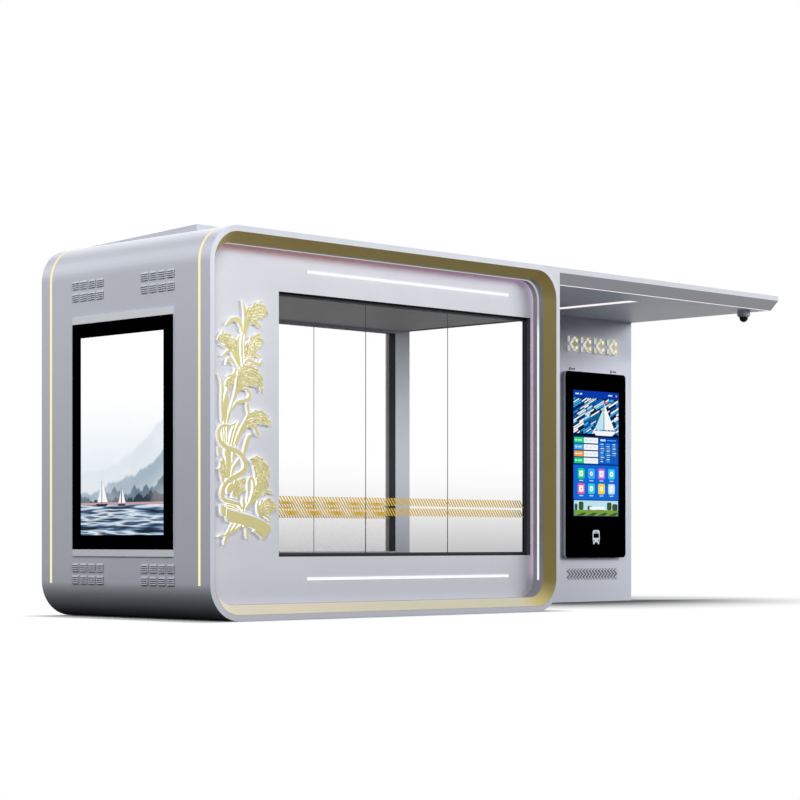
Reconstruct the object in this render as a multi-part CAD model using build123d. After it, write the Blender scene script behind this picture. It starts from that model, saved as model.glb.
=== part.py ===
"""Bus shelter: a rounded waiting pod with a flat canopy that runs on to a free-standing information kiosk.

Millimetres. The model is laid out from the pod's left face (X), its front rim (Y) and the ground (Z),
and every piece is moved at the end so that the origin is the centre of the footprint.
"""
from build123d import *
import os

# ---- overall -----------------------------------------------------------------------------------------
LENGTH = 6920.0            # shell's left face to the canopy's right end
POD_LENGTH = 3810.0        # outside length of the waiting pod
DEPTH = 2030.0             # front rim to rear rim
HEIGHT = 2870.0            # ground to the top of the shell and canopy
CORNER_RADIUS = 275.0      # outside corners of the pod's rounded section
SKIN = 43.0                # thickness of the pod's shell, seen as the rim, and of the canopy's fascia

# ---- front and rear recess -----------------------------------------------------------------------------
SPLAY_WIDTH = 72.0         # gilt splay: how far it narrows the opening
SPLAY_DEPTH = 84.0         # gilt splay: how far it runs back from the rim
SPLAY_LAND = 2.0           # flat land on the splay's sharp outer edge
FRONT_RECESS = 196.0       # rim to the front wall's face
REAR_RECESS = 181.0        # rear rim to the rear wall's face
FRONT_WALL = 66.0
REAR_WALL = 80.0
RECESS_LIGHT_WIDTH = 16.0
RECESS_LIGHT_SETBACK = 130.0   # rim to the near edge of the light in each recess
LIGHT_PROUD = 6.0          # light strips that stand on a surface
LIGHTS_FOOT = 258.0        # height at which the upright light strips start

# ---- windows ---------------------------------------------------------------------------------------------
WINDOW_LEFT = 834.0        # from the pod's left face
WINDOW_RIGHT_MARGIN = 150.0    # window to the pod's right face
SILL_HEIGHT = 464.0
HEAD_DROP = 420.0          # shell's top to the window heads, door head and ceiling
FRAME_WIDTH = 28.0
FRAME_SETBACK = 38.0       # front wall's face to its frame; the rear frame lines the whole opening
FRONT_GLASS_SETBACK = 9.0  # front frame's face to its panes
REAR_GLASS_SETBACK = 2.0   # rear wall's face to its panes
GLASS = 12.0
PANES = 3
PANE_JOINT = 5.0

# ---- end walls, floor and ceiling --------------------------------------------------------------------------
LEFT_WALL = 200.0          # shell's left face to the lining's inside face
RIGHT_WALL = 100.0         # shell's right face to the inside of the panel over the doorway
LINING = 20.0              # left wall's lining board
FLOOR_HEIGHT = 120.0
CEILING = 30.0

# ---- left end: poster box, louvres and light strips ------------------------------------------------------
POSTER_WIDTH = 1000.0
POSTER_FOOT = 627.0
POSTER_HEAD_DROP = 743.0   # shell's top to the poster's head
POSTER_BORDER = 104.0      # black glass beside the poster
POSTER_BORDER_ENDS = 109.0     # black glass over and under the poster
POSTER_TRIM = 51.0         # plates over and under the black glass
POSTER_PROUD = 12.0        # box in front of the shell's left face
POSTER_BOX_DEPTH = 130.0   # box behind the shell's left face
BLACK_GLASS = 8.0
POSTER_SHEET = 4.0
SIDE_LIGHT_INSET = 121.0   # rims to the centre of each strip
SIDE_LIGHT_WIDTH = 25.0
SIDE_LIGHT_DEPTH = 8.0
LOUVRE_WIDTH = 75.0
LOUVRE_HEIGHT = 61.0
LOUVRE_PITCH_Y = 102.0
LOUVRE_PITCH_Z = 92.0
LOUVRE_COLUMNS = 4
LOUVRE_ROWS = 2
LOUVRE_BLADES = 4
LOUVRE_PROUD = 11.0
LOUVRE_HEAD_PROUD = 3.0    # each hood's upper edge
LOUVRE_OVERHANG = 8.0      # group's outer end past the black glass
LOUVRE_UPPER_GAP = 128.0   # poster box to the upper louvres
LOUVRE_LOWER_GAP = 55.0    # poster box to the lower louvres

# ---- wall lights -------------------------------------------------------------------------------------------
BAR_LEFT_MARGIN = 1119.0   # pod's left face to the bars
BAR_RIGHT_MARGIN = 427.0
BAR_HEIGHT = 22.0
BAR_ABOVE_WINDOW = 168.0   # window head to the upper bar's centre
BAR_BELOW_WINDOW = 170.0

# ---- canopy ------------------------------------------------------------------------------------------------
CANOPY_SPLAY = 50.0        # fascia to the soffit's edge, in plan
CANOPY_DROP = 92.0         # fascia's lower edge to the soffit
EDGE_LIGHT_WIDTH = 10.0
EDGE_LIGHT_INSET = 2.0     # soffit's edge to the light
EDGE_LIGHT_PROUD = 4.0     # light below the soffit
SOFFIT_LIGHT_WIDTH = 130.0
SOFFIT_LIGHT_MARGIN = 430.0    # rims to the light's ends
SOFFIT_LIGHT_DEPTH = 14.0
CAMERA_RADIUS = 60.0
CAMERA_BASE = 62.0
CAMERA_DOME_RADIUS = 40.0
CAMERA_DOME_DROP = 48.0
CAMERA_DOME_SEAT = 8.0     # flat ring of the base around the dome
CAMERA_FROM_RIGHT = 205.0  # soffit's right edge to the camera's centre
CAMERA_FROM_FRONT = 160.0  # soffit's front edge to the camera's centre

# ---- roof cover --------------------------------------------------------------------------------------------
COVER_END_MARGIN = 335.0
COVER_FRONT_MARGIN = 549.0
COVER_REAR_MARGIN = 164.0
COVER_FRONT_RISE = 68.0
COVER_REAR_RISE = 20.0

# ---- kiosk -------------------------------------------------------------------------------------------------
KIOSK_WIDTH = 1190.0
KIOSK_DEPTH = 250.0
KIOSK_MARGIN = 100.0       # canopy's right end and rear edge to the kiosk
SCREEN_BOX_WIDTH = 890.0
SCREEN_BOX_FOOT = 423.0
SCREEN_BOX_DROP = 531.0    # soffit to the screen box
SCREEN_BOX_PROUD = 50.0
SCREEN_BOX_RADIUS = 40.0
DISPLAY_WIDTH = 678.0
DISPLAY_FOOT_MARGIN = 399.0    # screen box's foot to the display
DISPLAY_HEAD_MARGIN = 178.0
DISPLAY_SHEET = 3.0
SIGN_PLATE = 138.0
SIGN_PITCH = 195.0
SIGN_COUNT = 4
SIGN_DROP = 266.0          # soffit to the sign's centre line
SIGN_DEPTH = 28.0
GRILLE_WIDTH = 763.0
GRILLE_HEIGHT = 116.0
GRILLE_FOOT = 207.0
GRILLE_DEPTH = 10.0

# ---- positions worked out from the sizes above -------------------------------------------------------------
RECESS_INSET = SKIN + SPLAY_WIDTH              # outside face to the inside of the splay
FRONT_WALL_BACK = FRONT_RECESS + FRONT_WALL    # the front wall's inside face
REAR_WALL_FACE = DEPTH - REAR_RECESS
REAR_WALL_BACK = REAR_WALL_FACE - REAR_WALL    # the rear wall's inside face
WINDOW_RIGHT = POD_LENGTH - WINDOW_RIGHT_MARGIN
ROOM_RIGHT = POD_LENGTH - RIGHT_WALL
SHELL_INSIDE_RIGHT = POD_LENGTH - SKIN
SHELL_INSIDE_TOP = HEIGHT - SKIN
CORNER_RIGHT = POD_LENGTH - CORNER_RADIUS
CORNER_TOP = HEIGHT - CORNER_RADIUS
MIDDLE = DEPTH / 2
HEAD_HEIGHT = HEIGHT - HEAD_DROP
BAR_RIGHT = POD_LENGTH - BAR_RIGHT_MARGIN
SOFFIT_HEIGHT = SHELL_INSIDE_TOP - CANOPY_DROP
SOFFIT_RIGHT = LENGTH - CANOPY_SPLAY
KIOSK_RIGHT = LENGTH - KIOSK_MARGIN
KIOSK_LEFT = KIOSK_RIGHT - KIOSK_WIDTH
KIOSK_CENTRE = (KIOSK_LEFT + KIOSK_RIGHT) / 2
KIOSK_BACK = DEPTH - KIOSK_MARGIN
KIOSK_FACE = KIOSK_BACK - KIOSK_DEPTH
BLACK_WIDTH = POSTER_WIDTH + 2 * POSTER_BORDER
POSTER_HEAD = HEIGHT - POSTER_HEAD_DROP
BLACK_FOOT = POSTER_FOOT - POSTER_BORDER_ENDS
BLACK_HEAD = POSTER_HEAD + POSTER_BORDER_ENDS
ORIGIN = Location((-(LENGTH - POSTER_PROUD) / 2, -DEPTH / 2, 0))
REACH = 2 * (LENGTH + DEPTH + HEIGHT)          # past every piece, for cutting boxes

pieces = {}


# ---- helpers -----------------------------------------------------------------------------------------------
def block(x, y, z):
    """A box from three (low, high) pairs."""
    low = Vector(x[0], y[0], z[0])
    size = Vector(x[1], y[1], z[1]) - low
    return Pos(low) * Box(size.X, size.Y, size.Z, align=(Align.MIN, Align.MIN, Align.MIN))


def section(inset, y):
    """The pod's rounded section, set in by inset, as a face at one depth."""
    plane = Plane((POD_LENGTH / 2, y, HEIGHT / 2), x_dir=(1, 0, 0), z_dir=(0, -1, 0))
    face = RectangleRounded(POD_LENGTH - 2 * inset, HEIGHT - 2 * inset, CORNER_RADIUS - inset)
    return plane * face


def tube(inset, y):
    """The rounded section, set in by inset, run from y[0] to y[1]."""
    return extrude(section(inset, y[1]), amount=y[1] - y[0])


def ring(outer_inset, inner_inset, y):
    """A closed frame between two insets of the rounded section."""
    return tube(outer_inset, y) - tube(inner_inset, y)


def window_opening(y):
    return block((WINDOW_LEFT, WINDOW_RIGHT), y, (SILL_HEIGHT, HEAD_HEIGHT))


def kiosk_block(width, y, z):
    """A box centred on the kiosk."""
    return block((KIOSK_CENTRE - width / 2, KIOSK_CENTRE + width / 2), y, z)


# ---- pod shell ---------------------------------------------------------------------------------------------
def side_light(y):
    """Strip let into the left end, up from the foot and over the rounded shoulder."""
    band = ring(0, SIDE_LIGHT_DEPTH, (y - SIDE_LIGHT_WIDTH / 2, y + SIDE_LIGHT_WIDTH / 2))
    return band & block((0, CORNER_RADIUS), (0, DEPTH), (LIGHTS_FOOT, HEIGHT))


def poster_opening(x):
    """The hole in the left end that the poster box fills."""
    return block(x, (MIDDLE - BLACK_WIDTH / 2, MIDDLE + BLACK_WIDTH / 2),
                 (BLACK_FOOT - POSTER_TRIM, BLACK_HEAD + POSTER_TRIM))


def doorway():
    """The open end, as wide as the room."""
    room_y = (FRONT_WALL_BACK, REAR_WALL_BACK)
    return block((ROOM_RIGHT - SKIN, LENGTH), room_y, (FLOOR_HEIGHT, HEAD_HEIGHT))


def build_shell():
    """The shell's panels: the roof takes both upper shoulders, the base and its two corners are apart."""
    lights = [side_light(SIDE_LIGHT_INSET), side_light(DEPTH - SIDE_LIGHT_INSET)]
    pieces["side_lights"] = Compound(lights)
    shell = ring(0, SKIN, (0, DEPTH)) - doorway() - poster_opening((0, SKIN))
    for light in lights:
        shell = shell - light
    left, middle, right = (0, CORNER_RADIUS), (CORNER_RADIUS, CORNER_RIGHT), (CORNER_RIGHT, POD_LENGTH)
    low, mid, high = (0, CORNER_RADIUS), (CORNER_RADIUS, CORNER_TOP), (CORNER_TOP, HEIGHT)
    deep = (0, DEPTH)
    pieces["shell_base"] = shell & block(middle, deep, low)
    pieces["shell_roof"] = shell & block((0, POD_LENGTH), deep, high)
    pieces["shell_left_end"] = shell & block(left, deep, mid)
    pieces["shell_corner_left"] = shell & block(left, deep, low)
    pieces["shell_corner_right"] = shell & block(right, deep, low)
    build_right_end(shell & block(right, deep, mid))


def build_right_end(skin):
    """The end's uprights beside the doorway, and the panel over it with its lining."""
    across, upright_z = (0, POD_LENGTH), (CORNER_RADIUS, CORNER_TOP)
    pieces["right_end_front"] = skin & block(across, (0, FRONT_WALL_BACK), upright_z)
    pieces["right_end_rear"] = skin & block(across, (REAR_WALL_BACK, DEPTH), upright_z)
    room_y, head_z = (FRONT_WALL_BACK, REAR_WALL_BACK), (HEAD_HEIGHT, CORNER_TOP)
    head_lining = block((ROOM_RIGHT, SHELL_INSIDE_RIGHT), room_y, head_z)
    pieces["right_end_head"] = (skin & block(across, room_y, head_z)) + head_lining


def splay(y_rim, y_inner):
    """Gilt frame that narrows from the rim to the recess."""
    funnel = loft([section(SKIN + SPLAY_LAND, y_rim), section(RECESS_INSET, y_inner)], ruled=True)
    span = (min(y_rim, y_inner), max(y_rim, y_inner))
    return tube(SKIN, span) - funnel


def recess_light(y):
    """Strip that stands on a recess's liner, down both sides and across the top."""
    light = ring(RECESS_INSET, RECESS_INSET + LIGHT_PROUD, y)
    return light & block((0, POD_LENGTH), (0, DEPTH), (LIGHTS_FOOT, HEIGHT))


def build_recesses():
    pieces["gilt_splay_front"] = splay(0, SPLAY_DEPTH)
    pieces["gilt_splay_rear"] = splay(DEPTH, DEPTH - SPLAY_DEPTH)
    pieces["recess_liner"] = ring(SKIN, RECESS_INSET, (SPLAY_DEPTH, FRONT_RECESS))
    pieces["rear_recess_liner"] = ring(SKIN, RECESS_INSET, (REAR_WALL_FACE, DEPTH - SPLAY_DEPTH))
    near, far = RECESS_LIGHT_SETBACK, RECESS_LIGHT_SETBACK + RECESS_LIGHT_WIDTH
    pieces["recess_light"] = recess_light((near, far))
    pieces["rear_recess_light"] = recess_light((DEPTH - far, DEPTH - near))


# ---- front and rear walls ----------------------------------------------------------------------------------
def build_wall(name, y):
    """One long wall, split beside, over and under its window."""
    wall = tube(SKIN, y) - window_opening(y)
    window = (WINDOW_LEFT, WINDOW_RIGHT)
    pieces[name + "_left"] = wall & block((0, WINDOW_LEFT), y, (0, HEIGHT))
    pieces[name + "_right"] = wall & block((WINDOW_RIGHT, POD_LENGTH), y, (0, HEIGHT))
    pieces[name + "_head"] = wall & block(window, y, (HEAD_HEIGHT, HEIGHT))
    pieces[name + "_sill"] = wall & block(window, y, (0, SILL_HEIGHT))


def build_window(name, frame_y, glass_y):
    """Frame and a row of panes in one window opening."""
    clear_x = (WINDOW_LEFT + FRAME_WIDTH, WINDOW_RIGHT - FRAME_WIDTH)
    clear_z = (SILL_HEIGHT + FRAME_WIDTH, HEAD_HEIGHT - FRAME_WIDTH)
    pieces[name + "_frame"] = window_opening(frame_y) - block(clear_x, frame_y, clear_z)
    pane_width = (clear_x[1] - clear_x[0] - (PANES - 1) * PANE_JOINT) / PANES
    starts = [clear_x[0] + index * (pane_width + PANE_JOINT) for index in range(PANES)]
    panes = [block((start, start + pane_width), glass_y, clear_z) for start in starts]
    pieces[name + "_glass"] = Compound(panes)


def build_walls():
    build_wall("front_wall", (FRONT_RECESS, FRONT_WALL_BACK))
    build_wall("rear_wall", (REAR_WALL_BACK, REAR_WALL_FACE))
    frame_face = FRONT_RECESS + FRAME_SETBACK
    glass_face = frame_face + FRONT_GLASS_SETBACK
    build_window("front_window", (frame_face, FRONT_WALL_BACK), (glass_face, glass_face + GLASS))
    glass_face = REAR_WALL_FACE - REAR_GLASS_SETBACK
    build_window("rear_window", (REAR_WALL_BACK, REAR_WALL_FACE), (glass_face - GLASS, glass_face))


def build_wall_lights():
    width = (BAR_LEFT_MARGIN, BAR_RIGHT)
    depth = (FRONT_RECESS - LIGHT_PROUD, FRONT_RECESS)
    bars = [block(width, depth, (centre - BAR_HEIGHT / 2, centre + BAR_HEIGHT / 2))
            for centre in (HEAD_HEIGHT + BAR_ABOVE_WINDOW, SILL_HEIGHT - BAR_BELOW_WINDOW)]
    pieces["wall_lights"] = Compound(bars)


# ---- floor, ceiling and left lining ------------------------------------------------------------------------
def build_room():
    room_y = (FRONT_WALL_BACK, REAR_WALL_BACK)
    inside = tube(SKIN, room_y)
    room_x = (LEFT_WALL, ROOM_RIGHT)
    ceiling_z = (HEAD_HEIGHT, HEAD_HEIGHT + CEILING)
    floor_x = (LEFT_WALL, SHELL_INSIDE_RIGHT)
    pieces["floor_deck"] = inside & block(floor_x, room_y, (SKIN, FLOOR_HEIGHT))
    pieces["ceiling_panel"] = block(room_x, room_y, ceiling_z)
    lining_x = (LEFT_WALL - LINING, LEFT_WALL)
    pieces["left_end_lining"] = inside & block(lining_x, room_y, (SKIN, HEAD_HEIGHT + CEILING))


# ---- left end fittings -------------------------------------------------------------------------------------
def poster_block(x, width, z):
    return block(x, (MIDDLE - width / 2, MIDDLE + width / 2), z)


def build_poster_box():
    face = -POSTER_PROUD
    glass_back = face + BLACK_GLASS
    sheet_z = (POSTER_FOOT, POSTER_HEAD)
    sheet_x = (face + BLACK_GLASS - POSTER_SHEET, glass_back)
    glass_x = (face, glass_back)
    glass = poster_block(glass_x, BLACK_WIDTH, (BLACK_FOOT, BLACK_HEAD))
    pieces["poster_surround"] = glass - poster_block(glass_x, POSTER_WIDTH, sheet_z)
    pieces["poster_sheet"] = poster_block(sheet_x, POSTER_WIDTH, sheet_z)
    pieces["poster_box"] = poster_opening((face, POSTER_BOX_DEPTH)) - glass


def louvre(y, z):
    """One stack of pressed hoods, each open at its lower edge."""
    step = LOUVRE_HEIGHT / LOUVRE_BLADES
    points = [(0, 0)]
    for blade in range(LOUVRE_BLADES):
        points += [(-LOUVRE_PROUD, blade * step), (-LOUVRE_HEAD_PROUD, (blade + 1) * step)]
    points.append((0, LOUVRE_HEIGHT))
    plane = Plane((0, y, z), x_dir=(1, 0, 0), z_dir=(0, -1, 0))
    return extrude(plane * make_face(Polyline(points, close=True)), amount=-LOUVRE_WIDTH)


def build_louvres():
    group_width = (LOUVRE_COLUMNS - 1) * LOUVRE_PITCH_Y + LOUVRE_WIDTH
    half_span = BLACK_WIDTH / 2 + LOUVRE_OVERHANG
    starts = (MIDDLE - half_span, MIDDLE + half_span - group_width)
    hoods = []
    group_height = (LOUVRE_ROWS - 1) * LOUVRE_PITCH_Z + LOUVRE_HEIGHT
    upper_foot = BLACK_HEAD + POSTER_TRIM + LOUVRE_UPPER_GAP
    lower_foot = BLACK_FOOT - POSTER_TRIM - LOUVRE_LOWER_GAP - group_height
    for foot in (upper_foot, lower_foot):
        for start in starts:
            hoods += [louvre(start + column * LOUVRE_PITCH_Y, foot + row * LOUVRE_PITCH_Z)
                      for column in range(LOUVRE_COLUMNS) for row in range(LOUVRE_ROWS)]
    pieces["louvres"] = Compound(hoods)


# ---- canopy ------------------------------------------------------------------------------------------------
def soffit_rectangle(inset, z):
    """The soffit's outline, set in by inset on its three free sides, as a face at one height."""
    right, front, rear = LENGTH - inset, inset, DEPTH - inset
    return Pos((POD_LENGTH + right) / 2, (front + rear) / 2, z) * Rectangle(right - POD_LENGTH, rear - front)


def canopy_edge_light():
    """Strip that hangs just inside the soffit's free edges."""
    outer = CANOPY_SPLAY + EDGE_LIGHT_INSET
    foot = SOFFIT_HEIGHT - EDGE_LIGHT_PROUD
    band = soffit_rectangle(outer, foot) - soffit_rectangle(outer + EDGE_LIGHT_WIDTH, foot)
    return extrude(band, amount=EDGE_LIGHT_PROUD)


def canopy_soffit_light():
    centre = (POD_LENGTH + KIOSK_RIGHT) / 2
    width = (centre - SOFFIT_LIGHT_WIDTH / 2, centre + SOFFIT_LIGHT_WIDTH / 2)
    run = (SOFFIT_LIGHT_MARGIN, DEPTH - SOFFIT_LIGHT_MARGIN)
    return block(width, run, (SOFFIT_HEIGHT, SOFFIT_HEIGHT + SOFFIT_LIGHT_DEPTH))


def build_canopy():
    pieces["canopy_deck"] = block((POD_LENGTH, LENGTH), (0, DEPTH), (SHELL_INSIDE_TOP, HEIGHT))
    soffit_light = canopy_soffit_light()
    pieces["canopy_lights"] = Compound([canopy_edge_light(), soffit_light])
    tray = loft([soffit_rectangle(CANOPY_SPLAY, SOFFIT_HEIGHT), soffit_rectangle(0, SHELL_INSIDE_TOP)],
                ruled=True)
    pieces["canopy_soffit"] = tray - soffit_light
    corner = block((CORNER_RIGHT, POD_LENGTH), (0, DEPTH), (CORNER_TOP, HEIGHT))
    pieces["canopy_spandrel"] = corner - tube(0, (0, DEPTH))


def build_camera():
    centre = (SOFFIT_RIGHT - CAMERA_FROM_RIGHT, CANOPY_SPLAY + CAMERA_FROM_FRONT)
    base_foot = SOFFIT_HEIGHT - CAMERA_BASE
    base = Cylinder(CAMERA_RADIUS, CAMERA_BASE, align=(Align.CENTER, Align.CENTER, Align.MIN))
    base = chamfer(base.edges().group_by(Axis.Z)[0], CAMERA_RADIUS - CAMERA_DOME_RADIUS - CAMERA_DOME_SEAT)
    pieces["camera_base"] = Pos(*centre, base_foot) * base
    neck = CAMERA_DOME_DROP - CAMERA_DOME_RADIUS
    stem = Cylinder(CAMERA_DOME_RADIUS, neck, align=(Align.CENTER, Align.CENTER, Align.MAX))
    ball = Pos(0, 0, -neck) * Sphere(CAMERA_DOME_RADIUS)
    below = Cylinder(REACH, REACH, align=(Align.CENTER, Align.CENTER, Align.MAX))
    dome = stem + (ball & Pos(0, 0, -neck) * below)
    pieces["camera_dome"] = Pos(*centre, base_foot) * dome


def build_roof_cover():
    """Low tray over the pod's roof plant, falling to the rear."""
    front, rear = COVER_FRONT_MARGIN, DEPTH - COVER_REAR_MARGIN
    outline = Polyline([(front, HEIGHT), (front, HEIGHT + COVER_FRONT_RISE),
                        (rear, HEIGHT + COVER_REAR_RISE), (rear, HEIGHT)], close=True)
    plane = Plane((COVER_END_MARGIN, 0, 0), x_dir=(0, 1, 0), z_dir=(1, 0, 0))
    pieces["roof_cover"] = extrude(plane * make_face(outline), amount=POD_LENGTH - 2 * COVER_END_MARGIN)


# ---- kiosk -------------------------------------------------------------------------------------------------
def screen_plate(width, height, radius, foot, y):
    """A rounded plate facing the front, run from y[0] to y[1]."""
    plane = Plane((KIOSK_CENTRE, y[1], foot + height / 2), x_dir=(1, 0, 0), z_dir=(0, -1, 0))
    return extrude(plane * RectangleRounded(width, height, radius), amount=y[1] - y[0])


def build_kiosk():
    face = KIOSK_FACE
    grille_z = (GRILLE_FOOT, GRILLE_FOOT + GRILLE_HEIGHT)
    grille = kiosk_block(GRILLE_WIDTH, (face, face + GRILLE_DEPTH), grille_z)
    wall = kiosk_block(KIOSK_WIDTH, (face, KIOSK_BACK), (0, SOFFIT_HEIGHT))
    pieces["kiosk_wall"] = wall - grille
    pieces["kiosk_grille"] = grille
    glass_back = face - SCREEN_BOX_PROUD + BLACK_GLASS
    box_height = SOFFIT_HEIGHT - SCREEN_BOX_DROP - SCREEN_BOX_FOOT
    box_size = (SCREEN_BOX_WIDTH, box_height, SCREEN_BOX_RADIUS, SCREEN_BOX_FOOT)
    pieces["kiosk_screen_box"] = screen_plate(*box_size, (glass_back, face))
    glass = screen_plate(*box_size, (face - SCREEN_BOX_PROUD, glass_back))
    display_z = (SCREEN_BOX_FOOT + DISPLAY_FOOT_MARGIN, SCREEN_BOX_FOOT + box_height - DISPLAY_HEAD_MARGIN)
    display_y = (face - SCREEN_BOX_PROUD, face - SCREEN_BOX_PROUD + DISPLAY_SHEET)
    display = kiosk_block(DISPLAY_WIDTH, display_y, display_z)
    pieces["kiosk_screen_glass"] = glass - display
    pieces["kiosk_display"] = display
    build_sign()


def build_sign():
    first = KIOSK_CENTRE - (SIGN_COUNT - 1) * SIGN_PITCH / 2 - SIGN_PLATE / 2
    centre = SOFFIT_HEIGHT - SIGN_DROP
    z = (centre - SIGN_PLATE / 2, centre + SIGN_PLATE / 2)
    y = (KIOSK_FACE - SIGN_DEPTH, KIOSK_FACE)
    plates = [block((first + i * SIGN_PITCH, first + i * SIGN_PITCH + SIGN_PLATE), y, z)
              for i in range(SIGN_COUNT)]
    pieces["kiosk_sign"] = Compound(plates)


build_shell()
build_recesses()
build_walls()
build_wall_lights()
build_room()
build_poster_box()
build_louvres()
build_canopy()
build_camera()
build_roof_cover()
build_kiosk()

os.makedirs("parts", exist_ok=True)
for name, piece in pieces.items():
    export_step(ORIGIN * piece, f"parts/{name}.step")
print(len(pieces), "pieces")
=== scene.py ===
"""Looks of the bus shelter: finishes, lights, ornament, pictures and fittings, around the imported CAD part.

Metres, in the part's own frame: +X from the pod to the kiosk, +Y from the front to the rear, +Z up.
Places come from the boxes of the CAD nodes. Pieces on a face are laid out as (across, up, out) from a
corner of it.
"""
import math
import random

import bpy
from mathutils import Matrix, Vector


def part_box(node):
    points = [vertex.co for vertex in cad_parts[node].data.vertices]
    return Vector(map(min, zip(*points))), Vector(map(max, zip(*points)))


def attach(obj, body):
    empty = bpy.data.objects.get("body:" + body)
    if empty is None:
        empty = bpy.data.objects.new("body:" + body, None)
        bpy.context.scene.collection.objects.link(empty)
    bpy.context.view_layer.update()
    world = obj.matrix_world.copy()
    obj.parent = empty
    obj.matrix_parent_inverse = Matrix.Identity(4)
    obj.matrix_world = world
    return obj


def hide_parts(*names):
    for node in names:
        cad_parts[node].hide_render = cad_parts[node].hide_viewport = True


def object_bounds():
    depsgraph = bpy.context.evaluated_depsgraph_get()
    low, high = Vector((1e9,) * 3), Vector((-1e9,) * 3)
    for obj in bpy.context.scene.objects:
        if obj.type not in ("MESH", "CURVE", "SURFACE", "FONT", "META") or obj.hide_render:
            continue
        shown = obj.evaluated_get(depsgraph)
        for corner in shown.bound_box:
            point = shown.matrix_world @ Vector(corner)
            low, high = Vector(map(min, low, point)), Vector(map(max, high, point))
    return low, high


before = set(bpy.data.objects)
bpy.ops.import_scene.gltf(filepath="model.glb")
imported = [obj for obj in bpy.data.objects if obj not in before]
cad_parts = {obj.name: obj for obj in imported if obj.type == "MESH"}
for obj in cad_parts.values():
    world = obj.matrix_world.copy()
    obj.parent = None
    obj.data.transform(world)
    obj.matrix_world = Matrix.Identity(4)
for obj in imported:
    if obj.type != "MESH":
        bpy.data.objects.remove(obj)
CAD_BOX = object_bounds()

random.seed(7)
BODY = "root"
WHITE = (1, 1, 1, 1)


# ---- places worked out from the frame ----
def low(node):
    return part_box(node)[0]


def high(node):
    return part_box(node)[1]


POD_LEFT = low("shell_left_end").x
POD_RIGHT = high("right_end_head").x
RIM_REAR = high("shell_roof").y
TOP = high("shell_roof").z
WALL_FACE = low("front_wall_left").y
WINDOW_LOW, WINDOW_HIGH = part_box("front_window_frame")
FRAME_WIDTH = low("front_window_glass").x - WINDOW_LOW.x
CORNER_RADIUS = low("shell_base").x - POD_LEFT
KIOSK_LOW, KIOSK_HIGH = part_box("kiosk_wall")
KIOSK_FACE = KIOSK_LOW.y


# ---- colours and node helpers ----
def srgb(red, green, blue):
    """A colour given as it shows on a screen, 0 to 255, as Blender's linear values."""
    def linear(value):
        share = value / 255
        return share / 12.92 if share <= 0.04045 else ((share + 0.055) / 1.055) ** 2.4
    return (linear(red), linear(green), linear(blue), 1.0)


def grey(level):
    return (level, level, level, 1)


def shade(colour, factor):
    """The colour made darker or lighter, with no part over 1."""
    return tuple(min(1.0, part * factor) for part in colour[:3]) + (1.0,)


def feed(tree, node, inputs):
    """Sets or links a node's inputs, given by name or number."""
    for key, value in inputs.items():
        if isinstance(value, bpy.types.NodeSocket):
            tree.links.new(value, node.inputs[key])
        else:
            node.inputs[key].default_value = value


def add(tree, kind, inputs=None, **settings):
    """A new shader node of a kind, with its settings and inputs."""
    node = tree.nodes.new("ShaderNode" + kind)
    for name, value in settings.items():
        setattr(node, name, value)
    feed(tree, node, inputs or {})
    return node


def maths(tree, operation, first, second=0.0, third=0.0):
    return add(tree, "Math", {0: first, 1: second, 2: third}, operation=operation).outputs[0]


def product(tree, first, *others):
    for other in others:
        first = maths(tree, "MULTIPLY", first, other)
    return first


def vector(tree, operation, first, second=(0, 0, 0), output="Vector"):
    return add(tree, "VectorMath", {0: first, 1: second}, operation=operation).outputs[output]


def scaled(tree, body, share):
    return add(tree, "VectorMath", {0: body, 3: share}, operation="SCALE").outputs[0]


def split(tree, place):
    return add(tree, "SeparateXYZ", {0: place}).outputs


def facing(tree):
    """The three parts of the direction in which the surface faces."""
    return split(tree, add(tree, "NewGeometry").outputs["Normal"])


def span(tree, value, start, end, to_start=0.0, to_end=1.0, smooth=True):
    """value from start to end, turned into to_start to to_end and held there beyond."""
    kind = "SMOOTHSTEP" if smooth else "LINEAR"
    inputs = {"Value": value, "From Min": start, "From Max": end, "To Min": to_start, "To Max": to_end}
    return add(tree, "MapRange", inputs, interpolation_type=kind).outputs[0]


def even(tree, value, start, end, to_start=0.0, to_end=1.0):
    """The same without easing in and out."""
    return span(tree, value, start, end, to_start, to_end, smooth=False)


def noise(tree, place, scale, detail=2.0, stretch=(1, 1, 1)):
    if stretch != (1, 1, 1):
        place = add(tree, "Mapping", {"Vector": place, "Scale": stretch}).outputs[0]
    return add(tree, "TexNoise", {"Vector": place, "Scale": scale, "Detail": detail}).outputs[0]


def mix(tree, factor, first, second):
    return add(tree, "Mix", {0: factor, 6: first, 7: second}, data_type="RGBA").outputs[2]


def ramp(tree, factor, stops):
    """A colour ramp from (place, colour) stops."""
    node = add(tree, "ValToRGB", {0: factor})
    elements = node.color_ramp.elements
    elements[0].position, elements[0].color = stops[0]
    elements[1].position, elements[1].color = stops[-1]
    for place, colour in stops[1:-1]:
        elements.new(place).color = colour
    return node.outputs[0]


def past_edges(tree, place, centre, half):
    """How far a point lies beyond the sides of a box, in each direction; less than 0 is inside them."""
    folded = vector(tree, "ABSOLUTE", vector(tree, "SUBTRACT", place, centre))
    return vector(tree, "SUBTRACT", folded, half)


def distance_past(tree, past):
    """How far a point lies outside the box that past_edges was given, and 0 inside it."""
    return vector(tree, "LENGTH", vector(tree, "MAXIMUM", past), output="Value")


def start_material(name):
    material = bpy.data.materials.new(name)
    material.use_nodes = True
    tree = material.node_tree
    place = add(tree, "TexCoord").outputs["Object"]
    return material, tree, tree.nodes["Principled BSDF"], place


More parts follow.
